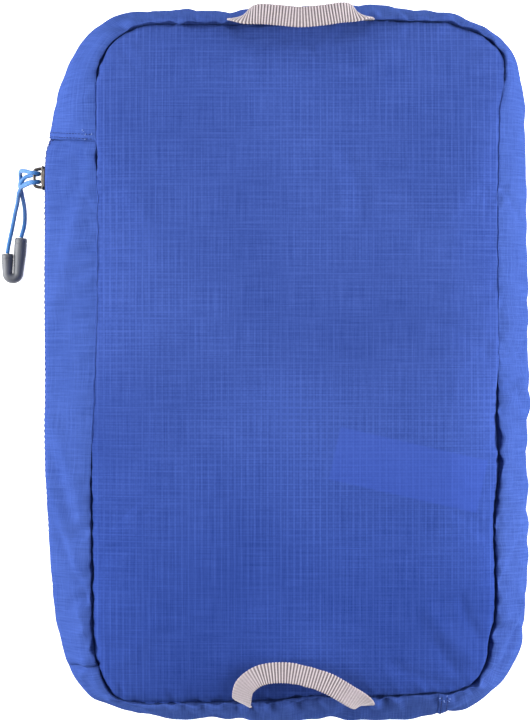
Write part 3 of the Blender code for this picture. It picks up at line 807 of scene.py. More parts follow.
def smooth_noise(shape, cells, seed):
    """A smooth random field from -1 to 1, with about that many waves each way."""
    draw = np.random.default_rng(seed)
    a, b = np.linspace(0, 1, shape[0])[:, None], np.linspace(0, 1, shape[1])[None]
    total = np.zeros(shape)
    for _ in range(26):
        fa, fb = draw.normal(0, cells[0]), draw.normal(0, cells[1])
        total += draw.normal() * np.sin(2 * np.pi * (fa * a + fb * b) + draw.uniform(0, 6.3))
    return total / np.abs(total).max()


def periodic(u, knots, smooth=15):
    """A smooth line through (u, value) knots that repeats every 8."""
    at, value = np.array([k[0] for k in knots], float), np.array([k[1] for k in knots], float)
    order = np.argsort(at % 8)
    at, value = (at % 8)[order], value[order]
    at = np.concatenate([at - 8, at, at + 8])
    value = np.tile(value, 3)
    fine = np.linspace(-8, 16, 4801)
    line = np.interp(fine, at, value)
    kernel = np.hanning(smooth)
    line = np.convolve(line, kernel / kernel.sum(), mode="same")
    return np.interp(np.asarray(u) % 8, fine, line)


# Knots of (u, millimetres) round the bag; u 0 to 1 is the left side going down, 2 to 3 the bottom,
# 4 to 5 the right side going up and 6 to 7 the top going left, with the corners between them.
# How deep the front seam sinks between the panel and the wall:
SINK = [(0.0, 0.4), (0.07, 0.6), (0.095, 3.2), (0.13, 0.3), (0.2, 0.0), (0.45, 0.0), (0.62, 0.1),
        (0.75, 3.0), (1.0, 4.0), (1.5, 4.4), (1.75, 3.0), (2.3, 3.4), (3.0, 3.0), (3.3, 3.6),
        (3.5, 4.6), (4.0, 4.6), (4.35, 5.0), (4.47, 2.4), (4.55, 0.3), (5.0, 0.2), (5.18, 1.4),
        (5.5, 4.2), (6.0, 4.2), (7.0, 4.2), (7.5, 4.0), (7.8, 3.4), (7.88, 0.6)]
# How wide the groove stands open:
OPEN = [(0.0, 0.0), (0.07, 0.2), (0.095, 2.2), (0.13, 0.1), (0.17, -0.1), (0.60, -0.1), (0.75, 1.4),
        (1.0, 1.9), (1.2, 3.0), (1.35, 1.6), (1.5, 2.4), (1.7, 1.3), (1.95, 2.4), (2.2, 2.0),
        (2.6, 2.3), (2.85, 1.5), (3.1, 1.2), (3.2, 1.4), (3.42, 3.4), (3.52, 2.4), (3.6, 1.5),
        (3.85, 2.5), (4.0, 1.8), (4.15, 1.4), (4.25, 2.3), (4.37, 3.2), (4.44, 1.4), (4.5, 0.0),
        (5.1, 0.0), (5.22, 2.6), (5.35, 1.7), (5.6, 1.5), (5.85, 2.5), (6.1, 1.4), (6.5, 1.9),
        (6.9, 2.7), (7.0, 1.9), (7.2, 1.9), (7.4, 0.9), (7.6, 1.1), (7.75, 2.0), (7.85, 0.1)]
# How far the front seam stands outside the CAD outline:
SEAM_SHIFT = [(0.20, -1.5), (0.40, -1.3), (0.55, 0.0), (0.70, 1.7), (0.83, 1.6), (1.0, 0.5), (1.3, 1.1),
              (1.5, 2.6), (1.62, 4.2), (1.8, 1.2), (2.0, 0.3), (2.35, 0.9), (2.55, -1.7), (2.8, -1.9),
              (2.95, -4.0), (3.3, -5.0), (3.42, -3.8), (3.58, -5.0), (3.75, -4.4), (3.9, -6.2),
              (4.03, -2.2), (4.2, -2.6), (4.3, 0.7), (4.4, -1.6), (4.5, 0.0), (4.65, -0.9), (5.0, -0.9),
              (5.15, 2.2), (5.3, 4.2), (5.4, 3.8), (5.56, 0.9), (5.8, -1.8), (6.05, 0.3), (6.25, 2.1),
              (6.8, -0.3), (7.06, -1.2), (7.3, -1.3), (7.5, -0.6), (7.75, 0.0), (7.95, -0.9)]
# How far the widest line of the wall stands outside the CAD outline:
WIDE_SHIFT = [(0.0, -4.6), (0.06, -1.8), (0.10, 0.0), (0.4, 0.3), (0.54, -0.2), (0.64, 0.3), (0.72, -0.6),
              (0.78, -1.6), (0.86, -3.2), (0.92, -4.4), (1.0, -7.2), (1.12, -9.0), (1.25, -7.9),
              (1.4, -5.4), (1.5, -4.8), (1.6, -2.8), (1.8, -5.0), (1.95, -4.2), (2.1, -3.0),
              (2.17, -4.8), (2.25, -3.2), (2.34, -1.2), (2.46, -2.2), (2.6, -3.9), (2.72, -3.0),
              (2.82, -1.6), (2.97, -2.6), (3.06, -2.6), (3.2, -1.0), (3.4, -1.6), (3.6, -2.1),
              (3.9, -1.8), (4.06, -1.2), (4.18, 0.2), (4.3, -1.8), (4.38, 0.0), (4.7, -0.6),
              (4.95, -1.4), (5.12, -1.6), (5.24, -1.8), (5.37, 0.2), (5.5, -0.6), (5.64, -2.7),
              (5.78, -4.8), (6.03, -2.6), (6.18, -1.0), (6.25, 0.3), (6.5, -1.4), (6.75, -4.2),
              (6.9, -1.9), (6.97, -2.6), (7.07, -1.5), (7.28, 1.1), (7.39, 0.4), (7.5, -1.8),
              (7.62, -3.9), (7.75, -5.6), (7.88, -5.6)]
# How much the cloth beside the front seam rises over it:
ROLL = [(0.1, 0.3), (0.5, 0.1), (0.8, 0.8), (1.3, 1.2), (2.0, 1.4), (3.0, 1.4), (3.6, 1.2), (4.3, 0.9),
        (4.5, 0.4), (4.9, 0.1), (5.3, 0.8), (5.8, 1.6), (6.3, 2.0), (6.8, 2.0), (7.4, 1.6), (7.8, 0.8)]
# How crumpled the wall is, from 0 to 1 and a little over:
CRUMPLE = [(0.1, 0.5), (0.5, 0.35), (0.85, 0.5), (1.5, 0.7), (2.0, 1.1), (3.0, 1.1), (3.5, 0.8), (4.2, 0.6),
           (4.4, 0.8), (4.7, 0.25), (5.2, 0.4), (6.0, 0.7), (6.9, 0.9), (7.2, 0.6), (7.5, 0.35), (7.8, 0.35)]


def closed_normals(grid):
    """Unit normals of a grid whose columns close round the bag."""
    return normals_of(np.concatenate([grid[-3:], grid, grid[:3]]))[3:-3]


def level_out(u):
    """The level direction straight out of the front seam at each u."""
    a, b = wall(u - 0.01, 1.0), wall(u + 0.01, 1.0)
    along = (b - a)[:, :2]
    out = np.stack([along[:, 1], -along[:, 0], np.zeros(len(along))], axis=1)
    return out / np.linalg.norm(out, axis=1, keepdims=True)


def distance_round(points):
    step = np.linalg.norm(np.diff(np.concatenate([points, points[:1]]), axis=0), axis=1)
    return np.concatenate([[0], np.cumsum(step)])[:-1], step.sum()


def ridge(x, y, start, end, bow, width, height):
    """A soft fold from start to end, bowed sideways; a height for each point."""
    start, end = np.array(start, float), np.array(end, float)
    along = end - start
    long = np.linalg.norm(along)
    along /= long
    s = ((x - start[0]) * along[0] + (y - start[1]) * along[1]) / long
    off = -(x - start[0]) * along[1] + (y - start[1]) * along[0] - bow * 4 * s * (1 - s)
    fade = np.clip(np.minimum(s, 1 - s) * 4 + 0.4, 0, 1)
    fade = fade * fade * (3 - 2 * fade)
    return height * fade * np.exp(-(off / width) ** 2)


PANEL_FOLDS = [  # start, end, bow, width and height of each soft fold, in mm
    ((14, 108), (22, 62), 7, 5.5, 1.5),
    ((26, 104), (34, 66), 6, 4.0, -1.0),
    ((-78, 88), (-48, 48), -3, 6, 1.0),
    ((-66, 96), (-44, 60), 2, 4, -0.6),
    ((-90, 40), (-60, 10), 2, 7, 0.8),
    ((60, 70), (98, 96), -4, 7, 0.9),
    ((70, 20), (100, 4), 3, 5, -0.8),
    ((-30, -150), (-8, -118), 3, 6, 0.9),
    ((66, -116), (92, -146), -2, 4.5, 1.3),
    ((84, -112), (96, -136), -2, 3.0, -1.0),
    ((50, -146), (84, -158), -2, 3.0, -0.8),
    ((72, -134), (84, -152), -1, 3.0, -1.0),
    ((-84, -148), (-60, -122), -2, 5, 0.8),
    ((-30, 157), (42, 157), 0, 8, -2.8),
    ((-4, 160), (14, 128), 3, 6, -0.9),
    ((-24, 158), (-40, 126), -3, 6, 0.8),
    ((34, 160), (48, 130), 3, 6, 0.8),
    ((50, 158), (92, 152), 2, 5, -1.0),
    ((-78, 158), (-70, 148), 0, 1.6, 0.5),
    ((-82, 154), (-72, 142), 0, 1.8, -0.5),
]


def dress_panel(panel):
    """Draw the small folds and puckers into the fine panel grid."""
    x, y = (panel[..., 0] - SHELL_X) / MM, panel[..., 1] / MM
    a, b = panel.shape[:2]
    lift = np.zeros((a, b))
    for fold in PANEL_FOLDS:
        lift += ridge(x, y, *fold)
    lift += 0.40 * smooth_noise((a, b), (1.6, 2.4), 3) + 0.12 * smooth_noise((a, b), (6, 9), 4)
    i, j = np.arange(a)[:, None] * FINE_STEP, np.arange(b)[None] * FINE_STEP
    for away, along, seed, strength in ((i, y, 11, 0.35), (i[::-1], y, 12, 0.65), (j, x, 13, 0.65),
                                        (j[:, ::-1], x, 14, 0.55)):
        near = np.exp(-away / 7) * np.clip(away / 2.5, 0, 1)
        lift += (wavy(along + 0.5 * away, 11, strength, seed) + wavy(along, 5, 0.2, seed + 50)) * near
    panel[..., 2] += lift * MM
    return panel


def wall_folds(s, high):
    """The height of the wall's single folds at each point, in mm."""
    lift = np.zeros(np.broadcast(s, high).shape)
    for s0, h0, s1, h1, width, height in WALL_FOLDS:
        run = np.hypot(s1 - s0, (h1 - h0) * WALL_RISE)
        cos, sin = (s1 - s0) / run, (h1 - h0) * WALL_RISE / run
        a, b = s - s0, (high - h0) * WALL_RISE
        along, off = (a * cos + b * sin) / run, -a * sin + b * cos
        fade = np.clip(np.minimum(along, 1 - along) * 4 + 0.4, 0, 1)
        lift += height * fade * fade * (3 - 2 * fade) * np.exp(-(off / width) ** 2)
    return lift


# Where each starts and ends, in mm round the bag from the upper end of the left side and from 0 to 1
# up the wall, then its width and its height in mm:
WALL_FOLDS = [
    (34, 0.98, 104, 0.74, 4.0, 1.3), (20, 0.90, 60, 0.97, 3.0, -0.9), (150, 0.72, 196, 0.97, 3.5, 1.2),
    (168, 0.70, 214, 0.96, 3.0, -1.2), (186, 0.72, 232, 0.96, 3.0, 1.1),
    (206, 0.74, 240, 0.98, 2.4, -1.1), (244, 0.92, 260, 0.99, 2.0, 1.3),
    (272, 0.99, 282, 0.78, 2.4, 1.4), (470, 0.96, 500, 0.74, 2.4, -2.2), (486, 0.97, 514, 0.72, 2.4, 1.4),
    (520, 0.98, 548, 0.76, 2.5, -1.1), (612, 0.97, 626, 0.62, 3.0, 1.3), (630, 0.98, 640, 0.60, 3.0, -1.5),
    (648, 0.97, 655, 0.64, 3.0, 1.1),
]
PLEAT_U = 1.33  # where the wall has a pleat, in the lower left corner
TIGHT_U = 14.98  # and where it has close, even puckers, at the upper end of the top
SLANT, SLANT_REACH = 3.3 * MM, 0.055  # how far the left cross seam leans, and over what part of u


def dress_wall(side, u, t):
    """Draw the wall's folds and its uneven outline; rows rise from the back seam."""
    far, total = distance_round(side[:, -1])
    total = total / MM
    s = (far + far_of_left_end(u, far))[:, None] / MM % total
    mid = np.sin(np.pi * t)[None] ** 0.8
    high = t[None]
    out = level_out(u)[:, None, :]
    normal = closed_normals(side)
    widest = periodic(u, WIDE_SHIFT)[:, None] * np.exp(-((high - 0.52) / 0.33) ** 2) * mid
    on_zip = ((u - END_LEFT) % 8 < END_BOTTOM - END_LEFT)[:, None]
    zip_free = np.where(on_zip, np.clip((np.abs(high * WALL_RISE - ZIP_Z / MM) - 8) / 8, 0, 1), 1.0)
    crumple = periodic(u, CRUMPLE)[:, None]
    off_seam, off_back = np.clip((1 - high) / 0.03, 0, 1), np.clip(high / 0.04, 0, 1)
    seam_near, back_near = np.exp(-((1 - high) / 0.14)), np.exp(-(high / 0.16))
    skew = 14 * (high - 0.5)
    lift = wavy(s + 2 * skew, 15, 1.0, 21) * seam_near * off_seam
    lift += wavy(s - skew, 14, 0.8, 22) * back_near * off_back
    lift += (wavy(s + 2.2 * skew, 34, 1.1, 23) + wavy(s - 3.1 * skew, 27, 0.9, 24)) * mid
    lift += wavy(s + 1.6 * skew, 7.5, 0.95, 25) * np.exp(-((1 - high) / 0.10)) * off_seam
    lift += wavy(s - skew, 6.5, 0.40, 26) * np.exp(-(high / 0.10)) * off_back
    lift = lift * crumple * zip_free + wall_folds(s, high) * zip_free * off_seam
    flare = 0
    for edge, way, size, wide in ((T_HIGH, 1, 2.9, 0.085), (T_LOW, -1, 1.4, 0.09)):
        beyond = way * (high - edge)
        bulge = size * np.exp(-((beyond - 0.07) / wide) ** 2)
        flare = flare + np.where(on_zip & (beyond >= -1e-6), bulge, 0)
    ends = np.clip(np.minimum((u - END_LEFT) % 8 / 0.02, (END_BOTTOM - u) % 8 / 0.08), 0, 1)[:, None]
    upper = np.clip((high - 0.66) / 0.2, 0, 1)

    def from_place(place):
        return (s - s_at(u, far, place) / MM + total / 2) % total - total / 2

    for place, deep, wide, part in ((END_LEFT, 0.7, 0.9, 1.0), (END_BOTTOM, 0.7, 0.9, 1.0),
                                    (PLEAT_U, 2.4, 1.2, upper)):
        lift = lift - deep * np.exp(-(from_place(place) / wide) ** 2) * part
    lift = lift + 0.9 * np.exp(-((from_place(PLEAT_U) + 3.2) / 2.4) ** 2) * upper  # the pleat's lip
    tight = np.exp(-((u - TIGHT_U) / 0.16) ** 2)[:, None]
    lift = lift + 0.55 * np.sin(2 * np.pi * (s + 30 * high) / 5.2) * tight * seam_near * off_seam
    side = side + out * ((widest + flare * ends) * MM)[..., None] + normal * (lift * MM)[..., None]
    arch = scallops(s[:, 0])[:, None]
    rise = periodic(u, ROLL)[:, None] * (1 + 1.5 * crumple * (arch - 0.64))
    side[..., 2] += rise * MM * np.exp(-((high - 0.94) / 0.055) ** 2)
    return side


def slant_cross_seam(side, u, t):
    """Let the left cross seam run down the bag towards the front seam."""
    off = (u - END_LEFT + 4) % 8 - 4
    high = np.clip((t - 0.5) / 0.5, 0, 1) ** 1.4
    side[..., 1] -= SLANT * np.exp(-(off / SLANT_REACH) ** 2)[:, None] * high[None]
    return side


def scallops(s):
    """Arches of cloth between its puckers, from 0 in a pucker to 1, s being mm round the bag."""
    return np.abs(np.sin(np.pi * (s + wavy(s, 55, 7.0, 61)) / 13))


def s_at(u, far, place):
    """How far round the bag, in metres from the left side's upper end, a place u is."""
    return float(np.interp((place - u[0]) % 8 + u[0], u, far)) + far_of_left_end(u, far)


def far_of_left_end(u, far):
    """What to add so that distances run from the upper end of the left side."""
    return -float(np.interp(8.0, u, far))


def fine_places(u):
    u = np.asarray(u, float)
    middle = (u + np.append(u[1:], u[0] + 8)) / 2
    return np.stack([u, middle], axis=1).ravel()


def build_cloth():
    """Everything about the cloth body that the pieces are cut from."""
    panel, side, u, t, column_marks, row_marks = bag_shape()
    panel = double(double(panel, 0, False), 1, False)
    side = double(double(side, 0, True), 1, False)[:, ::-1]
    u, t = fine_places(u), double(t[:, None], 0, False)[::-1, 0]
    out = level_out(u)
    shift = periodic(u, SEAM_SHIFT, 31)[:, None] * MM * out
    shift = shift + wavy(distance_round(side[:, -1])[0] / MM, 10, 0.16, 31)[:, None] * MM * out
    seam_weight = np.clip((t - 0.55) / 0.45, 0, 1) ** 1.5
    side = side + shift[:, None, :] * seam_weight[None, :, None]
    side = slant_cross_seam(dress_wall(side, u, t), u, t)
    panel[..., :2] += filled_field(shift[:, :2], panel.shape[:2])
    panel = dress_panel(panel)

    seam = side[:, -1].copy()
    sink, half = groove(u, seam)
    panel, side, lip = open_groove(panel, side, seam, out, sink, half)
    marks = dict(zip(("end_left", "roll_left", "roll_bottom", "end_bottom"),
                     [2 * m for m in column_marks]))
    rows = dict(high=2 * (ROWS - row_marks[0]), low=2 * (ROWS - row_marks[1]), seam=2 * ROWS,
                top=side.shape[1] - 1)
    return dict(panel=panel, side=side, u=u, t=t, marks=marks, rows=rows, seam=seam, sink=sink,
                lip=lip[:, ::-1], normal=closed_normals(side), out=out,
                start_far=distance_round(seam)[0])


def open_groove(panel, side, seam, out, sink, half):
    """Part the panel and the wall along the seam and roll their edges in. The wall's own lip is
    joined to it, and the panel's is given back beside them."""
    off = np.linalg.norm(side - seam[:, None], axis=-1)
    side += out[:, None] * (half[:, None] * np.exp(-off / (3.0 * MM)))[..., None]
    side[..., 2] -= EDGE_DROP * sink[:, None] * np.exp(-off / (1.3 * MM))
    shape = panel.shape[:2]
    spread = filled_field(np.concatenate([-out[:, :2] * half[:, None], sink[:, None]], axis=1), shape)
    off = edge_distance(shape) * FINE_STEP * MM
    panel[..., :2] += spread[..., :2] * np.exp(-off / (3.0 * MM))[..., None]
    panel[..., 2] -= EDGE_DROP * spread[..., 2] * np.exp(-off / (1.9 * MM))
    lip_wall = lip_rows(seam, out, half, sink)
    lip_panel = lip_rows(seam, -out, half, sink)
    edge = edge_order(shape)
    lip_panel[:, 0] = panel[edge[:, 0], edge[:, 1]]
    return panel, np.concatenate([side, lip_wall[:, 1:]], axis=1), lip_panel


EDGE_DROP = 0.40  # how much of the groove's depth is the cloth's own edge rolling in


def groove(u, seam):
    """How deep and how wide, from its middle, the groove along the front seam is."""
    s = distance_round(seam)[0] / MM
    sink, half = periodic(u, SINK, 9) * MM, (periodic(u, OPEN, 9) - 0.3) * MM / 2
    pucker = 0.9 * periodic(u, CRUMPLE) * (0.55 - scallops(s_from_left(u, s)))
    uneven = 1 + 0.30 * wavy(s, 7, 1.0, 33) + pucker
    half = np.where(half > 0, half * np.clip(uneven, 0.25, 2.2), half)
    return sink * (0.8 + 0.2 * uneven), half


def s_from_left(u, s):
    return (s + far_of_left_end(u, s)) % (s[-1] + s[1] - s[0])


def edge_distance(shape):
    """How many points in from a grid's edge each of its points is."""
    i, j = np.arange(shape[0])[:, None], np.arange(shape[1])[None]
    return np.minimum(np.minimum(i, shape[0] - 1 - i), np.minimum(j, shape[1] - 1 - j)).astype(float)


def lip_rows(seam, out, half, sink):
    """The seam allowance under one side of the front seam, from its edge down."""
    rows = []
    for wide, deep, more in ((1.0, EDGE_DROP, 0), (0.94, 0.62, 0), (0.5, 0.86, 0), (0.0, 1.0, 0.3),
                             (0.0, 1.0, 5.5)):
        p = seam + out * (half * wide + 0.04 * MM)[:, None]
        p[:, 2] -= deep * sink + more * MM
        rows.append(p)
    return np.stack(rows, axis=1)


def filled_field(ring, shape):
    """Spread values from a ring round a grid into the middle, fading with distance."""
    field = np.zeros((*shape, ring.shape[1]))
    edge = edge_order(shape)
    field[edge[:, 0], edge[:, 1]] = ring
    for _ in range(160):
        field[1:-1, 1:-1] = 0.992 * around(field)
    return field


def columns(cloth, first, last):
    """Numbers of the wall's columns from one to another, round the bag."""
    count = cloth["side"].shape[0]
    if last <= first:
        last += count
    return np.arange(first, last + 1) % count


def wall_part(cloth, first, last, low, high, lift=0.0, thick=SHEET):
    """A stretch of the wall as a slab: columns first to last, rows low to high."""
    which = columns(cloth, first, last)
    grid = cloth["side"][which, low:high + 1]
    normal = cloth["normal"][which, low:high + 1]
    far, rise = run_along(grid[:, 0]), run_along(grid[len(grid) // 2])
    start = cloth["start_far"][which[0]]
    uv = np.stack(np.broadcast_arrays(start + far[:, None], rise[None]), axis=-1)
    return slab(grid + normal * lift, thick, uv, normals=normal)


def bend_along(point, direction, distance):
    start = Vector(point)
    return ("bag", "flap", start, start + Vector(direction) * distance)


PANEL_BEND = bend_along(FOLD_AT, FOLD_OUT, FOLD_ROLL)
LEFT_BEND = bend_along((FRONT["left"], ZIP_END_Y, SEAM_Z), (0, -1, 0), FOLD_ROLL / abs(FOLD_OUT.y))
BOTTOM_BEND = bend_along((ZIP_END_X, FRONT["bottom"], SEAM_Z), (-1, 0, 0), FOLD_ROLL / abs(FOLD_OUT.x))


def zip_spans(cloth):
    """The two stretches of the zip's run, parted at the pleat: first and last column, and how each
    bends."""
    marks = cloth["marks"]
    cut = int(np.abs(cloth["u"] - 8 - PLEAT_U).argmin())
    return (("left", marks["end_left"], cut, LEFT_BEND), ("bottom", cut, marks["end_bottom"], BOTTOM_BEND))


def body_pieces(cloth, looks):
    panel, side, marks, rows = cloth["panel"], cloth["side"], cloth["marks"], cloth["rows"]
    lip = cloth["lip"]
    front = piece("front_cloth", [
        slab(panel, SHEET, panel[..., :2].copy()),
        slab(lip, SHEET, lip[..., :2].copy(), wrap=True, normals=closed_normals(lip)),
    ], PANEL_BEND, looks["front"], ("front_panel", "flap_panel"), "ripstop")
    piece("plain_gusset", [wall_part(cloth, marks["end_bottom"], marks["end_left"], 0, rows["top"])],
          "bag", looks["wall"], ("hinge_gusset",), "ripstop")
    piece("lower_strip", [wall_part(cloth, marks["end_left"], marks["end_bottom"], 0, rows["low"])],
          "bag", looks["wall"], ("lower_gusset",), "ripstop")
    for where, first, last, bend in zip_spans(cloth):
        piece("upper_strip_" + where, [wall_part(cloth, first, last, rows["high"], rows["top"])],
              bend, looks["wall"], ("flap_gusset",), "ripstop")


def back_pieces(cloth, looks):
    shape = cloth["panel"].shape[:2]
    grid = filled(cloth["side"][:, 0], shape)
    near = edge_distance(shape)
    wave = smooth_noise(shape, (3, 5), 41) + 0.6 * smooth_noise(shape, (9, 13), 42)
    grid[..., 2] = 0.85 * MM + 0.30 * MM * wave * np.clip(near / 5, 0, 1)
    grid[..., 2] -= 0.25 * MM * np.exp(-near / 2.0)
    flipped = grid[:, ::-1]
    uv = np.stack([flipped[..., 0], -flipped[..., 1]], axis=-1)
    thick = 0.4 * MM
    back = piece("back_cloth", [slab(flipped - np.array([0, 0, thick]), thick, uv)], "bag",
                 looks["wall"], ("back_panel",), "ripstop")


BINDING = [(1.0, 0.0), (1.15, -2.6), (0.95, -6.0), (0.0, -7.0), (-0.95, -6.0), (-1.15, -2.6), (-1.0, 0.0)]


def binding_part(line, out, drop, which, turn=1):
    """A folded tape over a seam allowance, hanging from a line into the bag."""
    rows = []
    for wide, deep in BINDING:
        p = line[which] + out[which] * wide * MM
        p[:, 2] += turn * (deep * MM - drop[which])
        rows.append(p)
    grid = np.stack(rows, axis=1)
    far = run_along(line[which])
    across = np.linspace(0, 14 * MM, len(BINDING))
    uv = np.stack(np.broadcast_arrays(far[:, None], across[None]), axis=-1)
    if turn < 0:
        grid, uv = grid[:, ::-1], uv[:, ::-1]
    return slab(grid, -0.35 * MM, uv)


def binding_pieces(cloth, looks):
    marks, out = cloth["marks"], cloth["out"]
    drop = cloth["sink"] + 1.2 * MM
    seam = cloth["seam"]
    which = columns(cloth, marks["end_bottom"], marks["end_left"])
    piece("front_tape_binding", [binding_part(seam, out, drop, which)], "bag", looks["binding"],
          ("front_binding",), "binding")
    for where, first, last, bend in zip_spans(cloth):
        piece("flap_tape_binding_" + where, [binding_part(seam, out, drop, columns(cloth, first, last))],
              bend, looks["binding"], ("flap_binding",), "binding")
    back = cloth["side"][:, 0] - out * 2.6 * MM
    back[:, 2] = 1.6 * MM
    every = np.append(np.arange(len(back)), 0)
    piece("back_tape_binding", [binding_part(back, out, 0 * drop, every, turn=-1)], "bag",
          looks["binding"], ("back_binding",), "binding")
    for name, at in (("left", marks["end_left"]), ("bottom", marks["end_bottom"])):
        part = wall_part(cloth, at - 3, at + 3, 5, cloth["rows"]["seam"] - 6, -1.9 * MM, 0.5 * MM)
        piece("cross_tape_" + name, [part], "bag", looks["binding"], ("cross_binding_" + name,), "binding")


def label_piece(cloth, looks):
    a, b = np.linspace(-0.5, 0.5, 41) * LABEL_LONG, np.linspace(-0.5, 0.5, 17) * LABEL_WIDE
    cos, sin = math.cos(LABEL_TILT), math.sin(LABEL_TILT)
    p, q = np.meshgrid(a, b, indexing="ij")
    x = LABEL_AT[0] + p * cos - q * sin
    y = LABEL_AT[1] + p * sin + q * cos
    panel = cloth["panel"].reshape(-1, 3)
    z = np.array([panel[np.argmin((panel[:, 0] - i) ** 2 + (panel[:, 1] - j) ** 2), 2]
                  for i, j in zip(x.ravel(), y.ravel())]).reshape(x.shape)
    z = relaxed(z, 6)
    lift = 0.25 * MM * smooth_noise(x.shape, (1.2, 0.8), 51)
    grid = np.stack([x, y, z - 1.6 * MM + lift], axis=-1)
    label = piece("blank_label", [slab(grid, 0.25 * MM, np.stack([p, q], axis=-1))], "bag",
                  looks["label"], ("care_label",), "label")


# ---------------------------------------------------------------------------------------------
# Zip: tapes, coils, stitching
# ---------------------------------------------------------------------------------------------
TAPE_IN = 1.0 * MM  # the tapes lie this far inside the strips
COIL_PITCH = 1.35 * MM


def coil(line, normal, way):
    """One half of a coil zip along a line: way is 1 for the upper half, -1 for the lower."""
    far = run_along(line)
    turns = int(far[-1] / COIL_PITCH)
    a = np.linspace(0, turns * 2 * np.pi, turns * 9)
    at = a / (2 * np.pi) * COIL_PITCH
    p, n = at_distance(line, far, at), at_distance(normal, far, at)
    phase = a + (0 if way > 0 else np.pi)
    up = way * (1.05 + 0.95 * -np.cos(phase)) * MM
    p = p + n * (0.50 * np.sin(phase) * MM)[:, None]
    p[:, 2] += up
    return tube(p, 0.27 * MM, 5)


def zip_pieces(cloth, looks):
    rows, marks = cloth["rows"], cloth["marks"]
    middle = (rows["high"] + rows["low"]) // 2
    line = cloth["side"][:, middle].copy()
    line[:, 2] = ZIP_Z
    normal = cloth["out"]
    on = line + normal * (-TAPE_IN + 0.45 * MM)
    low, high = rows["low"] - 3, rows["high"] + 3
    whole = columns(cloth, marks["end_left"], marks["end_bottom"])
    tape = wall_part(cloth, marks["end_left"], marks["end_bottom"], low, middle - 1, -TAPE_IN, 0.6 * MM)
    piece("tape_low", [tape], "bag", looks["tape"], ("tape_lower",), "zip_tape")
    piece("coil_low", [coil(on[whole], normal[whole], -1)], "bag", looks["coil"], ("coil_lower",),
          "zip_coil")
    for where, first, last, bend in zip_spans(cloth):
        part = wall_part(cloth, first, last, middle + 1, high, -TAPE_IN, 0.6 * MM)
        piece("tape_up_" + where, [part], bend, looks["tape"], ("tape_upper",), "zip_tape")
        which = columns(cloth, first, last)
        piece("coil_up_" + where, [coil(on[which], normal[which], 1)], bend, looks["coil"],
              ("coil_upper",), "zip_coil")
        piece("hem_stitches_" + where, [stitches_on(cloth, which, rows["high"] + 1)], bend,
              looks["thread"], (), "ripstop")
    piece("hem_stitches_low", [stitches_on(cloth, whole, rows["low"] - 1)], "bag", looks["thread"], (),
          "ripstop")


def stitches_on(cloth, which, row):
    return stitch_row(cloth["side"][which, row], cloth["normal"][which, row])


def thread_ends(cloth, at, way):
    """Five short loose ends beside a cross seam, near the front."""
    rows, draw, tufts = cloth["rows"], np.random.default_rng(60 + at), []
    rise = np.array([0.1, 0.5, 0.5, 0.0])[:, None] * MM
    for _ in range(5):
        column = (at + way * int(draw.integers(1, 5))) % cloth["side"].shape[0]
        row = rows["seam"] - int(draw.integers(5, 14))
        p, n = cloth["side"][column, row], cloth["normal"][column, row]
        bend = draw.normal(0, 0.5 * MM, (4, 3)) + n * rise
        line = smooth_line(p + np.cumsum(bend, axis=0) * 0.6 + n * 0.15 * MM, 9)
        tufts.append(tube(line, 0.10 * MM, 5))
    return tufts


def cross_seams(cloth, looks):
    """The two seams at the zip's ends: rows of dark stitches and some lighter thread ends."""
    rows, marks = cloth["rows"], cloth["marks"]
    for name, at, way in (("left", marks["end_left"], -1), ("bottom", marks["end_bottom"], 1)):
        parts = []
        for shift in (1, 3):
            column = (at + way * shift) % cloth["side"].shape[0]
            line = cloth["side"][column, 3:rows["seam"] - 1]
            normal = cloth["normal"][column, 3:rows["seam"] - 1]
            parts.append(stitch_row(line, normal, 2.4 * MM, 1.7 * MM))
        piece("cross_stitches_" + name, parts, "bag", looks["thread"], (), "ripstop")
        piece("thread_ends_" + name, thread_ends(cloth, at, way), "bag", looks["light_thread"], (),
              "ripstop")


# ---------------------------------------------------------------------------------------------
# Slider, cord and grip
# ---------------------------------------------------------------------------------------------
SLIDER_LOW, SLIDER_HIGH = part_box("slider_body")
SLIDER_Y = (SLIDER_LOW.y + SLIDER_HIGH.y) / 2
WALL_X = WALL_LOW.x
PLATE_X = WALL_X - 0.5 * MM
PLATE = 1.3 * MM
BAR = 0.75 * MM  # radius of the bridge's bar
BAR_X = SLIDER_LOW.x + BAR
CORD_R = 1.075 * MM


def prism(outline, low, high, axis, round_edge=0.0):
    """A plate: a closed outline in two axes, pushed along the third. round_edge bevels its rim."""
    pts = np.asarray(outline, float)
    middle = pts.mean(axis=0)
    sizes = np.ptp(pts, axis=0)
    small = middle + (pts - middle) * (1 - 2 * round_edge / sizes)
    levels = [(low, small), (low + round_edge, pts), (high - round_edge, pts), (high, small)]
    rings = [np.insert(ring, axis, level, axis=1) for level, ring in levels]
    count = len(pts)
    faces = [tuple(range(count))[::-1], tuple(3 * count + k for k in range(count))]
    for r in range(3):
        for k in range(count):
            m = (k + 1) % count
            faces.append((r * count + k, r * count + m, (r + 1) * count + m, (r + 1) * count + k))
    if axis == 1:
        faces = [f[::-1] for f in faces]
    points = np.concatenate(rings)
    return points, faces, points[:, :2] * 1.0


def rounded(points, radius, steps=4):
    """A polygon with its corners rounded."""
    pts, out = [np.array(p, float) for p in points], []
    for before, at, after in zip(pts[-1:] + pts[:-1], pts, pts[1:] + pts[:1]):
        a = at + (before - at) / np.linalg.norm(before - at) * radius
        b = at + (after - at) / np.linalg.norm(after - at) * radius
        for s in np.linspace(0, 1, steps + 1):
            out.append((1 - s) ** 2 * a + 2 * s * (1 - s) * at + s**2 * b)
    return np.array(out)


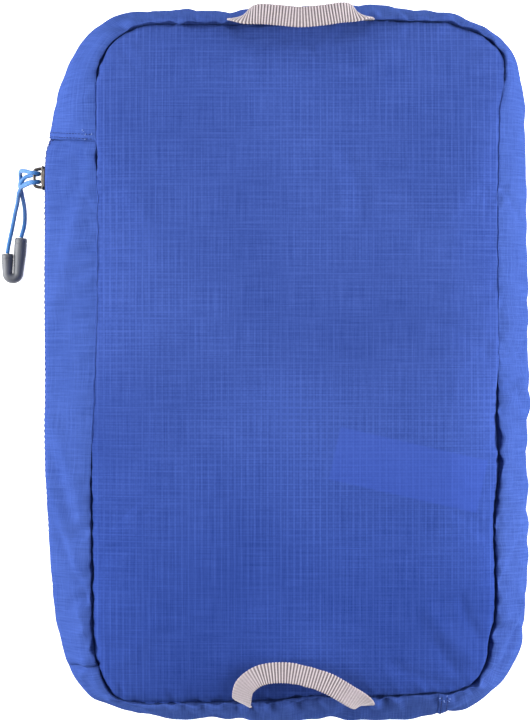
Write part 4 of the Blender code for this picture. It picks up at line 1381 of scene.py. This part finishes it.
def slider_outline(long, wide, nose):
    """In y and z: parallel sides, and a nose that narrows towards the closed chain."""
    y0, y1 = SLIDER_Y - long / 2, SLIDER_Y + long / 2
    half, tip = wide / 2, nose / 2
    corners = [(y0, ZIP_Z - tip), (y1 - long * 0.45, ZIP_Z - half), (y1, ZIP_Z - half),
               (y1, ZIP_Z + half), (y1 - long * 0.45, ZIP_Z + half), (y0, ZIP_Z + tip)]
    return rounded(corners, 1.1 * MM)


def slider_piece(looks):
    out = PLATE_X - PLATE
    face = slider_outline(12 * MM, 8.2 * MM, 6.6 * MM)
    parts = [prism(face, out, PLATE_X, 0, 0.35 * MM)]
    inner = PLATE_X + 0.5 * MM + CLOTH + 2.2 * MM
    parts.append(prism(slider_outline(10 * MM, 7.6 * MM, 6.2 * MM), inner, inner + PLATE * 0.9, 0, 0.3 * MM))
    for way in (-1, 1):
        z0, z1 = sorted((ZIP_Z + way * 3.45 * MM, ZIP_Z + way * 4.1 * MM))
        y0, y1 = SLIDER_Y - 4.6 * MM, SLIDER_Y + 4.6 * MM
        lip = rounded([(PLATE_X - 0.5 * MM, y0), (PLATE_X + 1.1 * MM, y0), (PLATE_X + 1.1 * MM, y1),
                       (PLATE_X - 0.5 * MM, y1)], 0.3 * MM)
        parts.append(prism(lip, z0, z1, 2, 0.15 * MM))
    post = rounded([(SLIDER_Y + 1.2 * MM, ZIP_Z - 0.4 * MM), (SLIDER_Y + 4.4 * MM, ZIP_Z - 0.4 * MM),
                    (SLIDER_Y + 4.4 * MM, ZIP_Z + 0.4 * MM), (SLIDER_Y + 1.2 * MM, ZIP_Z + 0.4 * MM)],
                   0.3 * MM)
    parts.append(prism(post, PLATE_X - 0.3 * MM, inner + 0.3 * MM, 0, 0.05 * MM))
    half = [(out + 0.6 * MM, 4.6), (out - 0.8 * MM, 4.6), (BAR_X + 0.9 * MM, 4.2), (BAR_X, 3.2)]
    arch = [(x, -y) for x, y in half] + [(BAR_X, 0)] + half[::-1]
    path = smooth_line([(x, SLIDER_Y + y * MM, ZIP_Z) for x, y in arch], 60)
    y = np.abs(path[:, 1] - SLIDER_Y)
    parts.append(tube(path, BAR * (1 + 0.18 * np.clip((y - 3.2 * MM) / (1.2 * MM), 0, 1)), 12))
    crown = rounded([(out - 0.45 * MM, SLIDER_Y - 2.6 * MM), (out + 0.2 * MM, SLIDER_Y - 3.4 * MM),
                     (out + 0.2 * MM, SLIDER_Y + 3.4 * MM), (out - 0.45 * MM, SLIDER_Y + 2.6 * MM)],
                    0.25 * MM)
    parts.append(prism(crown, ZIP_Z - 2.0 * MM, ZIP_Z + 2.0 * MM, 2, 0.3 * MM))
    piece("slider", parts, "slider", looks["metal"], ("slider_body",), "slider")


GRIP_LOW, GRIP_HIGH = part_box("pull_grip")
GRIP_R = 3.25 * MM
GRIP_Z = (GRIP_LOW.z + GRIP_HIGH.z) / 2
ARMS = ((SHELL_X - 142.2 * MM, 55.6 * MM), (SHELL_X - 135.2 * MM, 63.7 * MM))  # x and top of each arm
GRIP_BEND_Y = 45.9 * MM  # where the arms meet the round end
GRIP_LEAN = 1.4 * MM  # the longer arm leans this far towards the other at the bend
GRIP_SQUEEZE = 0.82  # how flat the section is there


def cord_route():
    """The cord's middle line, as in the CAD source: from one arm of the grip, round the bridge's
    bar in a lark's head, and down to the other arm."""
    wrap = BAR + CORD_R + 0.5 * MM
    x, y, z = BAR_X, SLIDER_Y, ZIP_Z
    hitch = []
    for across, way in ((y - 1.6 * MM, 1), (y + 1.8 * MM, -1)):
        arc = []
        for degrees in range(-75, 166, 30):
            a = math.radians(degrees)
            slip = -way * 1.0 * MM * (degrees + 75) / 240
            arc.append((x + wrap * math.cos(a), across + slip, z + wrap * math.sin(a)))
        hitch.append(arc if way == 1 else arc[::-1])
    (left, left_top), (right, right_top) = ARMS
    up = [(left, left_top + 0.3 * MM, GRIP_Z)]
    up += [(left + a * MM, b * MM, c * MM) for a, b, c in
           ((0.8, 61.0, 2.8), (2.4, 68.0, 3.8), (4.2, 75.0, 9.0))]
    up += [(x + a * MM, y + b * MM, c * MM) for a, b, c in
           ((-9.8, -11.0, 16.5), (-8.6, -6.5, 23.2), (-5.8, -3.0, 27.2), (-2.6, -1.8, 29.8))]
    bight = [(x + a * MM, y + b * MM, z + c * MM) for a, b, c in
             ((-4.6, -3.4, -2.6), (-7.3, -4.2, -6.8), (-8.1, -3.2, -10.8), (-7.8, -0.2, -12.8),
              (-7.9, 2.8, -11.2), (-7.2, 4.0, -7.2), (-4.6, 3.6, -2.6))]
    down = [(x + a * MM, y + b * MM, c * MM) for a, b, c in
            ((-2.6, 1.4, 30.0), (-5.6, 0.4, 27.4), (-7.8, -3.2, 24.3), (-7.3, -8.0, 18.8),
             (-6.8, -13.5, 11.2), (-7.0, -18.5, 5.0), (-7.6, -23.0, 2.8))]
    down += [(right, right_top + 0.3 * MM, GRIP_Z)]
    return up + hitch[0] + bight + hitch[1] + down


def pull_pieces(looks):
    grip = grip_piece(looks)
    line = smooth_line(cord_route(), 340)
    cord = piece("pull_cord_braid", [tube(line, CORD_R, 14)], "pull", looks["cord"], ("pull_cord",), "cord")


def grip_piece(looks):
    """A moulded U with a groove near each arm's top, flatter round its bend."""
    (x0, top0), (x1, top1) = ARMS
    x2 = x1 - GRIP_LEAN
    middle, radius = (x0 + x2) / 2, (x2 - x0) / 2
    path = [(x0, y, GRIP_Z) for y in np.linspace(top0, GRIP_BEND_Y, 14)[:-1]]
    for k in range(25):
        a = math.pi * (1 + k / 24)
        path.append((middle + radius * math.cos(a), GRIP_BEND_Y + radius * math.sin(a), GRIP_Z))
    path += [(x2 + GRIP_LEAN * a, GRIP_BEND_Y + (top1 - GRIP_BEND_Y) * a, GRIP_Z)
             for a in np.linspace(0, 1, 20)[1:]]
    path = smooth_line(path, 150)
    far = run_along(path)
    end = np.minimum(far, far[-1] - far)
    rounding = 0.16 * np.exp(-end / (0.5 * MM))
    groove_in = 0.05 * np.exp(-((end - 2.6 * MM) / (0.35 * MM)) ** 2)
    radius_at = GRIP_R * (1 - rounding - groove_in)
    radius_at = radius_at * (1 - 0.02 * np.clip(end / (12 * MM), 0, 1))
    straight = np.clip((path[:, 1] - GRIP_BEND_Y) / (top0 - GRIP_BEND_Y), 0, 1)
    flat = GRIP_SQUEEZE + (1 - GRIP_SQUEEZE) * straight
    return piece("grip", [tube(path, radius_at * 0.985, 28, flat)], "pull", looks["grip"],
                 ("pull_grip",), "grip")


# ---------------------------------------------------------------------------------------------
# Handles
# ---------------------------------------------------------------------------------------------
WEB_WIDE, WEB_THICK = 10.0 * MM, 1.2 * MM
FOOT_Z = SEAM_Z + 1.3 * MM
TOP_STATIONS = [  # x, y, z, then the direction of the strap's width; mm
    (-24.4, 167.9, None, 1.00, 0.00), (-23.8, 168.0, 75.5, 0.98, 0.20),
    (-20.2, 168.6, 80.8, 0.76, 0.65), (-13.5, 169.2, 84.5, 0.40, 0.92),
    (-4.0, 168.4, 86.2, 0.10, 0.99), (6.3, 167.5, 86.6, 0.00, 1.00),
    (17.0, 168.4, 86.2, -0.10, 0.99), (27.5, 170.0, 84.3, -0.40, 0.92),
    (34.0, 169.7, 80.5, -0.78, 0.62), (37.2, 168.6, 75.5, -0.98, 0.20),
    (37.8, 167.9, None, -1.00, 0.00)]
BOTTOM_STATIONS = [
    (-21.6, -166.2, None, 0.88, -0.47), (-22.2, -164.4, 75.2, 0.84, -0.54),
    (-20.4, -157.0, 80.3, 0.72, -0.69), (-12.5, -151.2, 84.0, 0.20, -0.98),
    (-0.5, -149.9, 85.5, 0.00, -1.00), (11.0, -152.2, 85.2, -0.05, -1.00),
    (20.6, -155.7, 84.0, -0.12, -0.99), (30.8, -162.0, 79.8, -0.50, -0.87),
    (36.8, -165.8, 75.2, -0.93, -0.36), (37.9, -167.0, None, -1.00, 0.00)]


def top_fade(s):
    """How strongly the top handle's ribs stand out, s being 0 to 1 along it."""
    return np.clip(np.minimum(s, 1 - s) / 0.05, 0.35, 1)


def bottom_fade(s):
    return np.clip((s - 0.22) / 0.16, 0.25, 1) * np.clip((1 - s) / 0.22, 0.25, 1)


def strap_grid(stations, ribs_fade):
    """Upper side and underside of a ribbed strap, and its UVs. ribs_fade gives the ribs' strength
    from 0 to 1 along it."""
    points = [(x * MM + SHELL_X, y * MM, FOOT_Z if z is None else z * MM, wx, wy)
              for x, y, z, wx, wy in stations]
    line = smooth_line(points, 760)
    centre = line[:, :3]
    far = run_along(centre)
    along = np.gradient(centre, axis=0)
    along /= np.linalg.norm(along, axis=1, keepdims=True)
    wide = np.concatenate([line[:, 3:], np.zeros((len(line), 1))], axis=1)
    wide -= along * (wide * along).sum(axis=1, keepdims=True)
    wide /= np.linalg.norm(wide, axis=1, keepdims=True)
    face = np.cross(along, wide)
    v = np.linspace(-1, 1, 21)
    rib = np.cos(2 * np.pi * far / RIB)
    strength = ribs_fade(far / far[-1])
    picot = 1 + 0.030 * rib * strength
    cross = np.clip((1 - np.abs(v)) / 0.12, 0, 1) ** 0.5
    centre = centre + face * (0.22 * MM * wavy(far / MM, 22, 1.0, 71))[:, None]
    at = centre[:, None] + wide[:, None] * (v[None, :, None] * WEB_WIDE / 2 * picot[:, None, None])
    bulk = (0.30 + 0.17 * rib[:, None] * strength[:, None]) * cross[None] + 0.12
    upper = at + face[:, None] * (bulk * MM)[..., None]
    lower = at - face[:, None] * (bulk * MM)[..., None]
    uv = np.stack(np.broadcast_arrays(far[:, None], (v * WEB_WIDE / 2)[None]), axis=-1)
    return upper, lower, uv


def handle_pieces(looks):
    for name, stations, fade, base in (("top", TOP_STATIONS, top_fade, "bag"),
                                       ("bottom", BOTTOM_STATIONS, bottom_fade, "flap")):
        body = name + "_grab"
        joint = next(j for j in frame["joints"] if j["name"] == body + "_tilt")
        start = Vector(joint["pos_m"])
        start.z = FOOT_Z - 1.0 * MM
        blend = (base, body, start, start + Vector((0, 0, 5 * MM)))
        strap = solid_between(*strap_grid(stations, fade))
        piece(name + "_strap", [strap], blend, looks[name + "_webbing"], (name + "_handle",), "webbing")


def make_looks():
    return dict(
        front=ripstop("ripstop_front", FABRIC_DARK, FABRIC_LIGHT, label=True),
        # painted sheen: the wall's nylon is a paler, less blue copy of the front's, for the side walls'
        # brighter look
        wall=ripstop("ripstop_wall", (0.0118, 0.0282, 0.136), (0.0575, 0.102, 0.333), lines=0.45),
        binding=weave("binding_tape", (0.014, 0.030, 0.150), (0.040, 0.080, 0.320), 0.9 * MM),
        tape=weave("zip_tape", (0.010, 0.026, 0.150), (0.030, 0.070, 0.330), 0.7 * MM),
        coil=moulded("zip_coil", (0.018, 0.042, 0.230), 0.45),
        label=weave("label_satin", (0.62, 0.63, 0.66), (0.80, 0.81, 0.84), 0.4 * MM, 0.45, 0.03 * MM),
        thread=thread("thread_blue", (0.006, 0.012, 0.070)),
        light_thread=thread("thread_pale", (0.22, 0.31, 0.62)),
        metal=metal("slider_metal", (0.105, 0.092, 0.082), 0.42),
        grip=moulded("grip_rubber", (0.076, 0.080, 0.092), 0.50, 0.03 * MM),
        cord=braid("cord_braid"),
        top_webbing=grosgrain("webbing_top", (0, 4 * MM, 85 * MM, 92 * MM)),
        bottom_webbing=grosgrain("webbing_bottom", (17 * MM, 24 * MM, 62 * MM, 70 * MM)),
    )


def build():
    looks = make_looks()
    cloth = build_cloth()
    back_pieces(cloth, looks)
    body_pieces(cloth, looks)
    binding_pieces(cloth, looks)
    label_piece(cloth, looks)
    zip_pieces(cloth, looks)
    cross_seams(cloth, looks)
    slider_piece(looks)
    pull_pieces(looks)
    handle_pieces(looks)


studio()
camera()
build()
